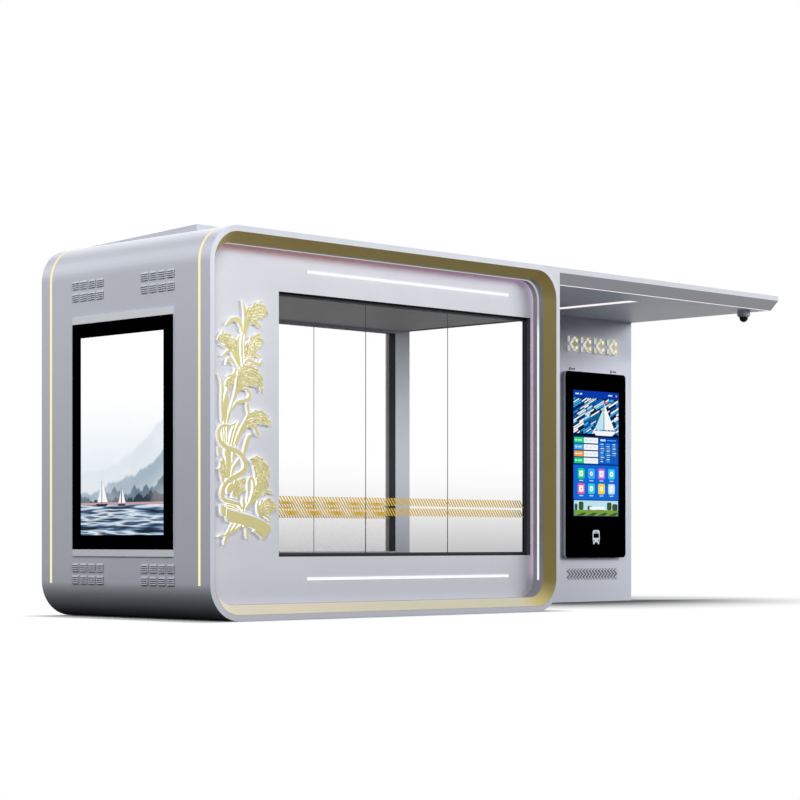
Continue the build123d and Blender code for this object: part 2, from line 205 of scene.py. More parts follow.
def reopen(material):
    """A finished material's tree, shader and place, to add to it."""
    tree = material.node_tree
    place = next(node for node in tree.nodes if node.type == "TEX_COORD").outputs["Object"]
    return tree, tree.nodes["Principled BSDF"], place


def glow(material, colour, strength, sampled=False):
    """Lets a surface glow; only what is sampled counts as a lamp."""
    tree = material.node_tree
    feed(tree, tree.nodes["Principled BSDF"], {"Emission Color": colour, "Emission Strength": strength})
    material.cycles.emission_sampling = "AUTO" if sampled else "NONE"


def finish(name, colour, roughness, metallic=0.0, specular=0.3, variation=0.05, cloud=1.6, grain=260.0,
           bump=0.05, stretch=(1, 1, 1), tint=None):
    """A painted, moulded or plated surface: soft colour clouds, uneven gloss and a fine grain in relief."""
    material, tree, shader, place = start_material(name)
    clouds = noise(tree, place, cloud, 4.0)
    body = mix(tree, clouds, shade(colour, 1 - variation), shade(colour, 1 + variation))
    if tint:
        body = tint(tree, place, body)
    streaks = noise(tree, place, grain, 2.0, stretch)
    gloss = span(tree, noise(tree, place, cloud * 5, 3.0), 0.3, 0.7, roughness * 0.94, roughness * 1.06)
    relief = add(tree, "Bump", {"Height": streaks, "Strength": bump, "Distance": 0.001}).outputs[0]
    feed(tree, shader, {"Base Color": body, "Roughness": gloss, "Normal": relief, "Metallic": metallic,
                        "Specular IOR Level": specular})
    return material


def lit(name, colour, strength=1.0, sampled=False, body=0.0):
    """An opal or printed surface lit from behind, with a faint unevenness."""
    material, tree, shader, place = start_material(name)
    glow(material, mix(tree, noise(tree, place, 14.0), shade(colour, 0.96), colour), strength, sampled)
    feed(tree, shader, {"Base Color": shade(colour, body), "Roughness": 0.6, "Specular IOR Level": 0.0})
    return material


# ---- tints that vary over a finish ----
# Painted shade and highlight: how much lighter or darker the paint is drawn at each slope, from -1 for
# facing down to 1 for facing up.
PAINTED_SLOPE_TONES = [(-1.0, 0.92), (-0.9, 0.86), (-0.79, 0.84), (-0.68, 0.74), (-0.56, 0.67), (-0.44, 0.63),
               (-0.32, 0.59), (-0.15, 0.76), (-0.05, 0.95), (0.05, 1.0), (0.115, 1.07), (0.16, 1.15),
               (0.30, 1.22), (0.42, 1.15), (0.5, 1.0), (0.6, 0.92), (0.69, 0.98), (0.77, 1.13),
               (0.86, 1.27), (0.93, 1.52), (0.98, 1.5), (1.0, 1.02)]
TONE_LIMIT = 1.6    # a ramp holds no more than 1, so the tones go in as shares of this


def painted_shade_and_highlight(tree, place, body):
    """Painted shade and highlight: the paint is drawn darker towards the foot and where it turns under,
    lighter over the rounded shoulder and at the left edge of the front rim, and a little darker on the front
    part of the left end.
    """
    across, toward, height = split(tree, place)
    side, front, slope = facing(tree)
    stops = [((z + 1) / 2, grey(tone / TONE_LIMIT)) for z, tone in PAINTED_SLOPE_TONES]
    tone = ramp(tree, even(tree, slope, -1.0, 1.0), stops)
    # Painted shade: darker towards the foot, a little lighter towards the top.
    lower = span(tree, height, 0.2, 0.45, 0.87 * TONE_LIMIT, 0.96 * TONE_LIMIT)
    upper = span(tree, height, 0.45, 2.4, 1.0, 1.08)
    left_end_painted_shade = product(tree, span(tree, side, -0.6, -0.9), span(tree, toward, 1.0, -1.0, 0.0, 0.09))
    left_rim_painted_highlight = product(tree, span(tree, front, -0.6, -0.9),
                       span(tree, across, POD_LEFT + 0.2, POD_LEFT + 0.1, 0.0, 0.13))
    share = product(tree, lower, upper, tone, maths(tree, "SUBTRACT", 1.0, left_end_painted_shade),
                    maths(tree, "ADD", 1.0, left_rim_painted_highlight))
    return scaled(tree, body, share)


def kiosk_shade(tree, place, body):
    """Painted shade: the kiosk wall is drawn darker towards its foot, lighter just below the canopy's
    shadow, darker under the canopy where that shadow falls, and darker towards its inner edge.
    """
    across, _, height = split(tree, place)
    share = product(tree, even(tree, height, 0.0, 2.0, 0.92, 1.06),
                    span(tree, height, 2.27, 2.46, 1.10, 0.81),
                    even(tree, across, KIOSK_LOW.x, KIOSK_HIGH.x, 0.95, 1.06))
    return scaled(tree, body, share)


def screen_box_painted_shade(tree, place, body):
    """Painted shade: the screen box's side is drawn pale along the glass and darker towards the wall."""
    front, back = low("kiosk_screen_box").y, high("kiosk_screen_box").y
    share = ramp(tree, even(tree, split(tree, place)[1], front, back),
                 [(0.0, grey(1)), (0.16, grey(1)), (0.24, grey(0.62)), (1.0, (0.36, 0.36, 0.37, 1))])
    return vector(tree, "MULTIPLY", body, share)


def soffit_painted_slope_shade(tree, place, body):
    """Painted shade: the soffit's sloping edges are drawn a darker grey than its flat part."""
    return scaled(tree, body, span(tree, facing(tree)[2], -0.9, -0.7, 1.0, 0.50))


def gold_painted_highlight(tree, place, body):
    """Painted highlight: where the brushed gold faces up it is drawn pale, for the light that falls on it
    and that it reflects, and yellower towards the right end; where it faces down it is drawn a little
    lighter, and elsewhere it keeps its browner gold.
    """
    upward = facing(tree)[2]
    across = split(tree, place)[0]
    right = high("gilt_splay_front").x
    # Painted highlight: the pale colours stand for the light on the upward faces.
    pale = mix(tree, span(tree, across, right - 1.9, right - 2.9), srgb(232, 226, 200), srgb(238, 229, 205))
    pale = mix(tree, span(tree, across, right - 0.42, right - 0.16), pale, srgb(224, 208, 140))
    body = scaled(tree, body, span(tree, upward, -0.2, -0.7, 1.0, 1.16))
    return mix(tree, span(tree, upward, 0.1, 0.7), body, pale)


def frame_painted_shade(tree, place, body):
    """Painted shade: the frame is drawn darker at its outer edge, in the gap beside the wall, and lighter
    towards its inner edge.
    """
    height = split(tree, place)[2]
    lower = even(tree, height, WINDOW_LOW.z + FRAME_WIDTH, WINDOW_LOW.z)
    upper = even(tree, height, WINDOW_HIGH.z - FRAME_WIDTH, WINDOW_HIGH.z)
    return scaled(tree, body, even(tree, maths(tree, "MAXIMUM", lower, upper), 0.0, 1.0, 1.9, 0.35))


# ---- materials made in their own way ----
WALL_INSET = 0.115      # the pod's outside to where the front wall's face shows inside the splay
PAINTED_GLOW_REACH = 0.13       # how far the painted glow of the recess's light reaches on the wall
PAINTED_GLOW_POWER = 2.4        # how fast it falls off
PAINTED_GLOW_STRENGTH = 0.27


def wall_edge_distance(tree, place):
    """How far a point of the front wall lies inside its rounded outline."""
    radius = CORNER_RADIUS - WALL_INSET
    centre = ((POD_LEFT + POD_RIGHT) / 2, 0, TOP / 2)
    half = ((POD_RIGHT - POD_LEFT) / 2 - WALL_INSET - radius, 0, TOP / 2 - WALL_INSET - radius)
    past = past_edges(tree, vector(tree, "MULTIPLY", place, (1, 0, 1)), centre, half)
    across, _, up = split(tree, past)
    inner = maths(tree, "MINIMUM", maths(tree, "MAXIMUM", across, up), 0.0)
    return maths(tree, "SUBTRACT", radius, maths(tree, "ADD", distance_past(tree, past), inner))


def wall_with_painted_glow():
    """The front wall's paint with a painted glow along its edges, red to magenta, standing for the recess's
    light that spills onto it; the wall itself is no lamp.
    """
    material = finish("paint_front_wall", srgb(232, 234, 244), 0.42, tint=painted_shade_and_highlight)
    tree, _, place = reopen(material)
    across, _, up = split(tree, place)
    near = even(tree, wall_edge_distance(tree, place), PAINTED_GLOW_REACH, 0.0)
    falloff = maths(tree, "POWER", near, PAINTED_GLOW_POWER)
    along = even(tree, across, POD_LEFT, POD_RIGHT)
    painted_glow_colour = ramp(tree, along, [(0.0, (1.0, 0.32, 0.22, 1)), (0.35, (1.0, 0.34, 0.33, 1)),
                              (0.75, (0.80, 0.36, 0.62, 1)), (1.0, (0.95, 0.55, 1.0, 1))])
    # Painted light: the wall glows near its edges, where the recess's light would fall.
    glow(material, painted_glow_colour, product(tree, falloff, span(tree, up, 0.22, 0.34), PAINTED_GLOW_STRENGTH))
    return material


def pane(name, stops):
    """Clear glass that lets less light through towards the sill, so that the view through it darkens there;
    stops are (height, share that it hides).
    """
    material, tree, shader, place = start_material(name)
    bottom, top = stops[0][0], stops[-1][0]
    share = even(tree, split(tree, place)[2], bottom, top)
    sill_darkening = ramp(tree, share, [((z - bottom) / (top - bottom), grey(1 - hidden)) for z, hidden in stops])
    clear = add(tree, "BsdfTransparent", {"Color": sill_darkening}).outputs[0]
    feed(tree, shader, {"Base Color": (0.9, 0.92, 0.93, 1), "Roughness": 0.03})
    layers = add(tree, "MixShader", {0: 0.001, 1: clear, 2: shader.outputs[0]}).outputs[0]
    tree.links.new(layers, tree.nodes["Material Output"].inputs["Surface"])
    return material


# Each range of hills in the print: its height, swing, rise to the right, waves, soft edge and colour.
HILLS = [(0.62, 0.16, 0.34, 2.6, 0.030, (222, 230, 236)), (0.46, 0.14, 0.26, 4.5, 0.030, (165, 181, 194)),
         (0.33, 0.18, 0.14, 7.0, 0.018, (104, 124, 141)), (0.27, 0.13, 0.08, 12.0, 0.012, (46, 60, 76))]
SHORE_LOW, SHORE_HIGH = 0.225, 0.246
SHORE_SOFT = 0.003
WATER_TONES = [(0.38, (24, 36, 52)), (0.47, (70, 96, 124)), (0.52, (146, 172, 196)), (0.58, (226, 236, 244)),
               (0.66, (60, 84, 110))]


def poster_art():
    """A back-lit print: white sky, misty blue-grey hills, a shore line and streaked dark water."""
    material, tree, shader, place = start_material("poster_art")
    box_low, box_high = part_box("poster_sheet")
    _, depth, height = split(tree, place)
    across = even(tree, depth, box_high.y, box_low.y)
    up = maths(tree, "SUBTRACT", height, box_low.z)
    line = add(tree, "CombineXYZ", {0: across}).outputs[0]
    picture = mix(tree, span(tree, up, 0.35, 1.1), srgb(226, 236, 243), WHITE)
    for base, swing, lean, waves, edge, tone in HILLS:
        ridge = noise(tree, vector(tree, "ADD", line, (base * 31, base * 7, 0)), waves, 5.0)
        ridge = maths(tree, "MULTIPLY_ADD", ridge, swing * 2, base - swing - lean * 0.35)
        ridge = maths(tree, "MULTIPLY_ADD", product(tree, across, across), lean, ridge)
        under = maths(tree, "SUBTRACT", ridge, up)
        cover = product(tree, span(tree, under, 0.0, edge), span(tree, under, 0.05, 0.32, 1.0, 0.45))
        picture = mix(tree, cover, picture, srgb(*tone))
    mist = span(tree, noise(tree, place, 2.4, 4.0), 0.45, 0.75, 0.0, 0.25)
    picture = mix(tree, mist, picture, WHITE)
    shore = product(tree, span(tree, up, SHORE_HIGH, SHORE_HIGH - SHORE_SOFT),
                    span(tree, up, SHORE_LOW, SHORE_LOW + SHORE_SOFT))
    picture = mix(tree, shore, picture, srgb(196, 160, 162))
    ripples = noise(tree, place, 2.2, 2.5, stretch=(1, 1, 13))
    water = ramp(tree, ripples, [(step, srgb(*tone)) for step, tone in WATER_TONES])
    picture = mix(tree, span(tree, up, SHORE_LOW + SHORE_SOFT, SHORE_LOW - 0.001), picture, water)
    glow(material, picture, 1.0)
    feed(tree, shader, {"Base Color": grey(0), "Roughness": 0.25, "Specular IOR Level": 0.02})
    return material


# ---- all finishes, and the node that each one covers ----
FINISHES = {
    # Painted shade and highlight by slope and height on the shell; the front wall and the fascia take the
    # same tint.
    "shell": finish("paint_shell", srgb(223, 227, 239), 0.36, variation=0.02, tint=painted_shade_and_highlight),
    # Painted shade on the screen box's side.
    "screen_box": finish("paint_screen_box", srgb(246, 248, 255), 0.4, variation=0.02, tint=screen_box_painted_shade),
    "roof": finish("paint_roof", srgb(217, 220, 230), 0.5, specular=0.1, variation=0.02),
    # Painted glow of the recess's light on the front wall.
    "wall": wall_with_painted_glow(),
    # Painted shade on the soffit's sloping edges.
    "soffit": finish("paint_soffit", srgb(222, 226, 235), 0.42, specular=0.28, variation=0.03,
                     tint=soffit_painted_slope_shade),
    "trim": finish("paint_trim", srgb(244, 248, 255), 0.4, variation=0.02),
    # Painted highlight on the gold splay where it faces up.
    "splay": finish("gold_sheet", srgb(176, 159, 97), 0.42, specular=0.15, variation=0.03, grain=120.0,
                    bump=0.08, stretch=(1, 30, 30), tint=gold_painted_highlight),
    "gold": finish("gold_plate", srgb(212, 202, 138), 0.42, metallic=0.1, variation=0.06, cloud=5.0,
                   grain=300.0),
    "gold_pale": finish("gold_pale", srgb(232, 225, 186), 0.42, metallic=0.1, variation=0.04, cloud=5.0),
    "dash_gold": finish("dash_gold", srgb(252, 209, 84), 0.5, specular=0.05, variation=0.06, cloud=40.0),
    # Painted shade on the front window frame's outer edge.
    "frame": finish("frame_black", srgb(52, 53, 57), 0.5, specular=0.05, variation=0.08, tint=frame_painted_shade),
    "rear_frame": finish("frame_grey", srgb(84, 86, 92), 0.5, specular=0.03, variation=0.02),
    "liner": finish("paint_liner", srgb(164, 165, 175), 0.5, variation=0.02),
    "fascia": finish("paint_fascia", srgb(217, 220, 230), 0.36, variation=0.02, tint=painted_shade_and_highlight),
    # Painted shade on the kiosk wall, under the canopy and towards the pod.
    "kiosk": finish("paint_kiosk", srgb(222, 226, 240), 0.42, variation=0.02, tint=kiosk_shade),
    "reveal": finish("reveal_grey", srgb(100, 101, 107), 0.5, specular=0.05),
    "label": finish("label_grey", srgb(108, 110, 118), 0.6, specular=0.1, variation=0.1, cloud=60.0),
    # Painted shadow in the louvres' openings and along their open ends.
    "slot_painted_shade": finish("slot_painted_shade_grey", srgb(84, 86, 93), 0.6, variation=0.1),
    "joint": finish("joint_black", srgb(40, 41, 44), 0.6, variation=0.1, grain=150.0),
    "ceiling": finish("ceiling_grey", srgb(142, 142, 143), 0.6, specular=0.02, variation=0.02),
    "lining": finish("lining_grey", srgb(120, 121, 127), 0.5),
    "floor": finish("floor_rubber", srgb(88, 89, 94), 0.75, variation=0.12, cloud=7.0, grain=400.0,
                    bump=0.3),
    "black": finish("black_glass", (0.0006, 0.0006, 0.0007, 1), 0.3, specular=0.0, variation=0.2, bump=0.01),
    "dome": finish("dome_black", (0.001, 0.001, 0.0012, 1), 0.15, specular=0.1, variation=0.1, bump=0.0),
    "camera": finish("camera_grey", srgb(212, 215, 224), 0.45),
    "grille": finish("grille_grey", srgb(92, 94, 105), 0.5, variation=0.08),
    "white_led": lit("led_white", WHITE, sampled=True),
    "bar_led": lit("led_bar", WHITE, sampled=True),
    "canopy_led": lit("led_canopy", srgb(255, 248, 252), sampled=True),
    "warm_led": lit("led_warm", srgb(255, 243, 186), 1.08),
    "acrylic": lit("acrylic_white", srgb(252, 252, 250), 0.42, body=0.85),
    "front_pane": pane("glass_front", [(0.464, 0.265), (0.513, 0.25), (0.59, 0.206), (0.744, 0.128),
                                       (0.86, 0.067), (1.053, 0.018), (1.2, 0.0)]),
    "rear_pane": pane("glass_rear", [(0.464, 0.0), (1.0, 0.0)]),
    "poster": poster_art(),
    "print_white": lit("print_white", srgb(248, 250, 252)),
    "print_navy": lit("print_navy", srgb(40, 52, 68)),
    "pictogram": lit("pictogram", srgb(205, 208, 214)),
    "ui_back": lit("ui_back", srgb(12, 60, 130)),
}

# The kiosk display's colours.
MENU_TONES = {
    "blue": (20, 104, 214), "header": (10, 58, 176), "white": (246, 248, 250), "green": (18, 216, 118),
    "sky": (60, 170, 240), "orange": (250, 160, 50), "panel": (18, 92, 196), "navy": (8, 44, 84),
    "ice": (190, 228, 242), "cyan": (50, 205, 225), "violet": (198, 104, 236), "pink": (246, 84, 150),
    "yellow": (240, 218, 50), "red": (235, 70, 40), "grass": (120, 160, 60), "leaf": (60, 84, 50),
    "grey": (150, 165, 175), "deep": (2, 24, 52), "teal": (20, 104, 150),
}
for tone, colour in MENU_TONES.items():
    FINISHES["ui_" + tone] = lit("ui_" + tone, srgb(*colour))

NODE_FINISH = {
    "shell": "shell_base shell_roof shell_left_end shell_corner_left shell_corner_right right_end_front "
             "right_end_rear right_end_head rear_wall_head rear_wall_left rear_wall_right rear_wall_sill "
             "louvres kiosk_grille",
    "fascia": "canopy_deck canopy_spandrel",
    "screen_box": "kiosk_screen_box",
    "roof": "roof_cover",
    "wall": "front_wall_head front_wall_left front_wall_right front_wall_sill",
    "soffit": "canopy_soffit",
    "trim": "poster_box",
    "splay": "gilt_splay_front gilt_splay_rear",
    "gold": "kiosk_sign",
    "frame": "front_window_frame",
    "rear_frame": "rear_window_frame",
    "liner": "recess_liner rear_recess_liner",
    "kiosk": "kiosk_wall",
    "front_pane": "front_window_glass",
    "rear_pane": "rear_window_glass",
    "ceiling": "ceiling_panel",
    "lining": "left_end_lining",
    "floor": "floor_deck",
    "white_led": "recess_light rear_recess_light",
    "bar_led": "wall_lights",
    "canopy_led": "canopy_lights",
    "warm_led": "side_lights",
    "black": "poster_surround kiosk_screen_glass",
    "poster": "poster_sheet",
    "ui_back": "kiosk_display",
    "dome": "camera_dome",
    "camera": "camera_base",
}


def fade_light_strips():
    """The white strips in the recesses are dimmer along the top."""
    tree, shader, place = reopen(FINISHES["white_led"])
    feed(tree, shader, {"Emission Strength": span(tree, split(tree, place)[2], 2.3, 2.5, 1.0, 0.5)})


def underside_painted_shade():
    """Painted shade: the shell's gloss is taken away where it turns under, so that it shows darker there."""
    tree, shader, _ = reopen(FINISHES["shell"])
    feed(tree, shader, {"Specular IOR Level": span(tree, facing(tree)[2], -0.1, -0.5, 0.3, 0.0)})


def light_overhead():
    """A faint glow stands for the light that the ground throws up at the ceiling and the soffit.

    The soffit's dies away in front of the kiosk wall.
    """
    glow(FINISHES["ceiling"], WHITE, 0.07)
    tree, _, place = reopen(FINISHES["soffit"])
    across, depth, _ = split(tree, place)
    open_front = span(tree, depth, KIOSK_FACE - 0.9, KIOSK_FACE - 0.2, 0.03, 0.0)
    open_right = span(tree, across, KIOSK_HIGH.x - 0.05, KIOSK_HIGH.x + 0.05, 0.0, 0.03)
    glow(FINISHES["soffit"], WHITE, maths(tree, "MAXIMUM", open_front, open_right))


def dress_nodes():
    """Gives every CAD node its finish."""
    for key, names in NODE_FINISH.items():
        for name in names.split():
            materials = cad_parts[name].data.materials
            materials.clear()
            materials.append(FINISHES[key])


fade_light_strips()
underside_painted_shade()
light_overhead()
dress_nodes()


# ---- laying pieces on a face ----
class Face:
    """A flat face of the shelter, seen from outside: points on it are (across, up) and how far out."""

    def __init__(self, corner, across=(1, 0, 0), up=(0, 0, 1)):
        self.corner, self.across, self.up = Vector(corner), Vector(across), Vector(up)
        self.out = self.across.cross(self.up)

    def at(self, across, up, out=0.0):
        return self.corner + self.across * across + self.up * up + self.out * out


def new_object(name, data):
    """A new object, linked to the scene."""
    thing = bpy.data.objects.new(name, data)
    bpy.context.scene.collection.objects.link(thing)
    return thing


class Shape:
    """A mesh in the making, laid on a face; its first finish is the one that a side has if none is named."""

    def __init__(self, name, face, *finishes):
        self.name, self.face, self.finishes = name, face, finishes
        self.points, self.sides, self.marks = [], [], []

    def prism(self, outline, start, end, top=None, wall=None, taper=0.0):
        """An outline raised from start to end out of the face; taper draws the top in."""
        area = sum(a[0] * b[1] - b[0] * a[1] for a, b in zip(outline, outline[1:] + outline[:1]))
        outline = outline if area > 0 else outline[::-1]
        count, first = len(outline), len(self.points)
        middle = [sum(point[axis] for point in outline) / count for axis in (0, 1)]
        roof = [between(middle, point, 1 - taper) for point in outline] if taper else outline
        self.points += [self.face.at(a, u, start) for a, u in outline]
        self.points += [self.face.at(a, u, end) for a, u in roof]
        self.sides.append(tuple(range(first + count, first + 2 * count)))
        self.sides.append(tuple(reversed(range(first, first + count))))
        for i in range(count):
            j = (i + 1) % count
            self.sides.append((first + i, first + j, first + count + j, first + count + i))
        top_mark = self.finishes.index(top or self.finishes[0])
        wall_mark = self.finishes.index(wall or top or self.finishes[0])
        self.marks += [top_mark] + [wall_mark] * (count + 1)

    def bar(self, left, right, bottom, top, start, end, finish=None, wall=None):
        self.prism([(left, bottom), (right, bottom), (right, top), (left, top)], start, end, finish, wall)

    def place(self):
        """Makes the mesh a piece of the shelter."""
        mesh = bpy.data.meshes.new(self.name)
        mesh.from_pydata(self.points, [], self.sides)
        for key in self.finishes:
            mesh.materials.append(FINISHES[key])
        mesh.polygons.foreach_set("material_index", self.marks)
        thing = new_object(self.name, mesh)
        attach(thing, BODY)
        return thing


def between(first, second, share):
    """The point at a share of the way from the first point to the second."""
    return tuple(a + (b - a) * share for a, b in zip(first, second))


def smooth_line(points, steps=5):
    """Points along a smooth line through the given ones."""
    ends = [points[0]] + list(points) + [points[-1]]
    line = []
    for before, start, end, after in zip(ends, ends[1:], ends[2:], ends[3:]):
        for step in range(steps):
            t = step / steps
            line.append(tuple(0.5 * (2 * b + (c - a) * t + (2 * a - 5 * b + 4 * c - d) * t * t
                                     + (3 * b - 3 * c + d - a) * t ** 3)
                              for a, b, c, d in zip(before, start, end, after)))
    return line + [tuple(points[-1])]


def line_length(line):
    """How long the line is from end to end."""
    return sum(math.dist(start, end) for start, end in zip(line, line[1:]))


def resample(line, count):
    """The same line in count equal steps."""
    reach = [0.0]
    for start, end in zip(line, line[1:]):
        reach.append(reach[-1] + math.dist(start, end))
    result, index = [], 0
    for step in range(count):
        goal = reach[-1] * step / (count - 1)
        while index < len(line) - 2 and reach[index + 1] < goal:
            index += 1
        gap = reach[index + 1] - reach[index]
        share = (goal - reach[index]) / gap if gap else 0.0
        result.append(between(line[index], line[index + 1], share))
    return result


def blade(points, width, start, end):
    """Outline of a leaf or stem along a line; start and end are the shares of the width at its tips."""
    line = smooth_line(points)
    count = len(line)
    line = resample(line, count)
    left, right = [], []
    for index, (x, y) in enumerate(line):
        before, after = line[max(index - 1, 0)], line[min(index + 1, count - 1)]
        run, rise = after[0] - before[0], after[1] - before[1]
        length = math.hypot(run, rise)
        share = index / (count - 1)
        grown = start + (1 - start) * math.sin(min(share / 0.4, 1) * math.pi / 2)
        faded = end + (1 - end) * math.sin(min((1 - share) / 0.4, 1) * math.pi / 2)
        half = width / 2 * min(grown, faded) + 0.0004
        left.append((x - rise / length * half, y + run / length * half))
        right.append((x + rise / length * half, y - run / length * half))
    return left + right[::-1]


def rounded(left, right, bottom, top, radius, steps=4):
    """Outline of a rectangle with round corners."""
    outline = []
    for x, y, first in ((right - radius, top - radius, 0), (left + radius, top - radius, 90),
                        (left + radius, bottom + radius, 180), (right - radius, bottom + radius, 270)):
        for step in range(steps + 1):
            angle = math.radians(first + 90 * step / steps)
            outline.append((x + radius * math.cos(angle), y + radius * math.sin(angle)))
    return outline


# ---- wheat ornament on the front wall ----
FRONT = Face((POD_LEFT, WALL_FACE, 0))
PLATE = 0.025       # how proud the ornament stands

# Each ear: the line of its outer edge, that of its other edge, and where along them the grains start.
EARS = [
    ([(0.475, 2.07), (0.482, 2.18), (0.5, 2.285), (0.55, 2.315), (0.61, 2.35), (0.66, 2.335), (0.695, 2.28)],
     [(0.475, 2.05), (0.497, 2.12), (0.53, 2.185), (0.57, 2.205), (0.62, 2.23), (0.66, 2.245),
      (0.69, 2.275)],
     0.4),
    ([(0.43, 1.86), (0.42, 1.95), (0.4, 2.04), (0.35, 2.08), (0.3, 2.105), (0.25, 2.095), (0.23, 2.06)],
     [(0.415, 1.87), (0.395, 1.9), (0.36, 1.95), (0.335, 1.985), (0.3, 2.01), (0.26, 2.03), (0.215, 2.045)],
     0.36),
    ([(0.485, 1.935), (0.492, 1.98), (0.5, 2.03), (0.55, 2.085), (0.6, 2.105), (0.64, 2.09), (0.655, 2.06)],
     [(0.52, 1.93), (0.56, 1.94), (0.585, 1.97), (0.6, 2.0), (0.625, 2.02), (0.645, 2.04), (0.655, 2.055)],
     0.12),
    ([(0.33, 1.53), (0.365, 1.62), (0.39, 1.7), (0.405, 1.78), (0.43, 1.845), (0.49, 1.875), (0.55, 1.88),
      (0.61, 1.84), (0.645, 1.79), (0.655, 1.74), (0.65, 1.69)],
     [(0.34, 1.53), (0.385, 1.62), (0.42, 1.68), (0.46, 1.715), (0.5, 1.74), (0.55, 1.75), (0.59, 1.75),
      (0.615, 1.735), (0.635, 1.71), (0.648, 1.69)], 0.38),
    ([(0.385, 1.745), (0.35, 1.775), (0.31, 1.76), (0.295, 1.73)],
     [(0.38, 1.74), (0.35, 1.72), (0.32, 1.685), (0.298, 1.705)], 0.2),
    ([(0.375, 1.29), (0.42, 1.38), (0.48, 1.47), (0.53, 1.525), (0.6, 1.545), (0.66, 1.54), (0.71, 1.5),
      (0.735, 1.455)],
     [(0.4, 1.28), (0.44, 1.36), (0.5, 1.41), (0.55, 1.43), (0.6, 1.445), (0.65, 1.45), (0.7, 1.445),
      (0.735, 1.435)], 0.42),
    ([(0.27, 1.03), (0.25, 1.08), (0.245, 1.13), (0.255, 1.17)],
     [(0.3, 1.04), (0.305, 1.09), (0.295, 1.14), (0.27, 1.18)], 0.1),
    ([(0.49, 0.805), (0.56, 0.86), (0.63, 0.91), (0.68, 0.945), (0.705, 1.0), (0.715, 1.07), (0.71, 1.13),
      (0.68, 1.17), (0.64, 1.2), (0.58, 1.205), (0.53, 1.19)],
     [(0.48, 0.82), (0.53, 0.88), (0.575, 0.94), (0.595, 1.0), (0.6, 1.06), (0.59, 1.11), (0.57, 1.15),
      (0.54, 1.17), (0.525, 1.185)], 0.28),
    ([(0.36, 0.9), (0.355, 0.96), (0.38, 1.01), (0.42, 1.035), (0.48, 1.04)],
     [(0.42, 0.89), (0.43, 0.91), (0.45, 0.95), (0.465, 0.99), (0.485, 1.035)], 0.1),
    ([(0.61, 0.79), (0.615, 0.84), (0.65, 0.87), (0.7, 0.895), (0.75, 0.885), (0.785, 0.83)],
     [(0.62, 0.765), (0.66, 0.765), (0.7, 0.775), (0.73, 0.795), (0.76, 0.815), (0.785, 0.825)], 0.16),
]

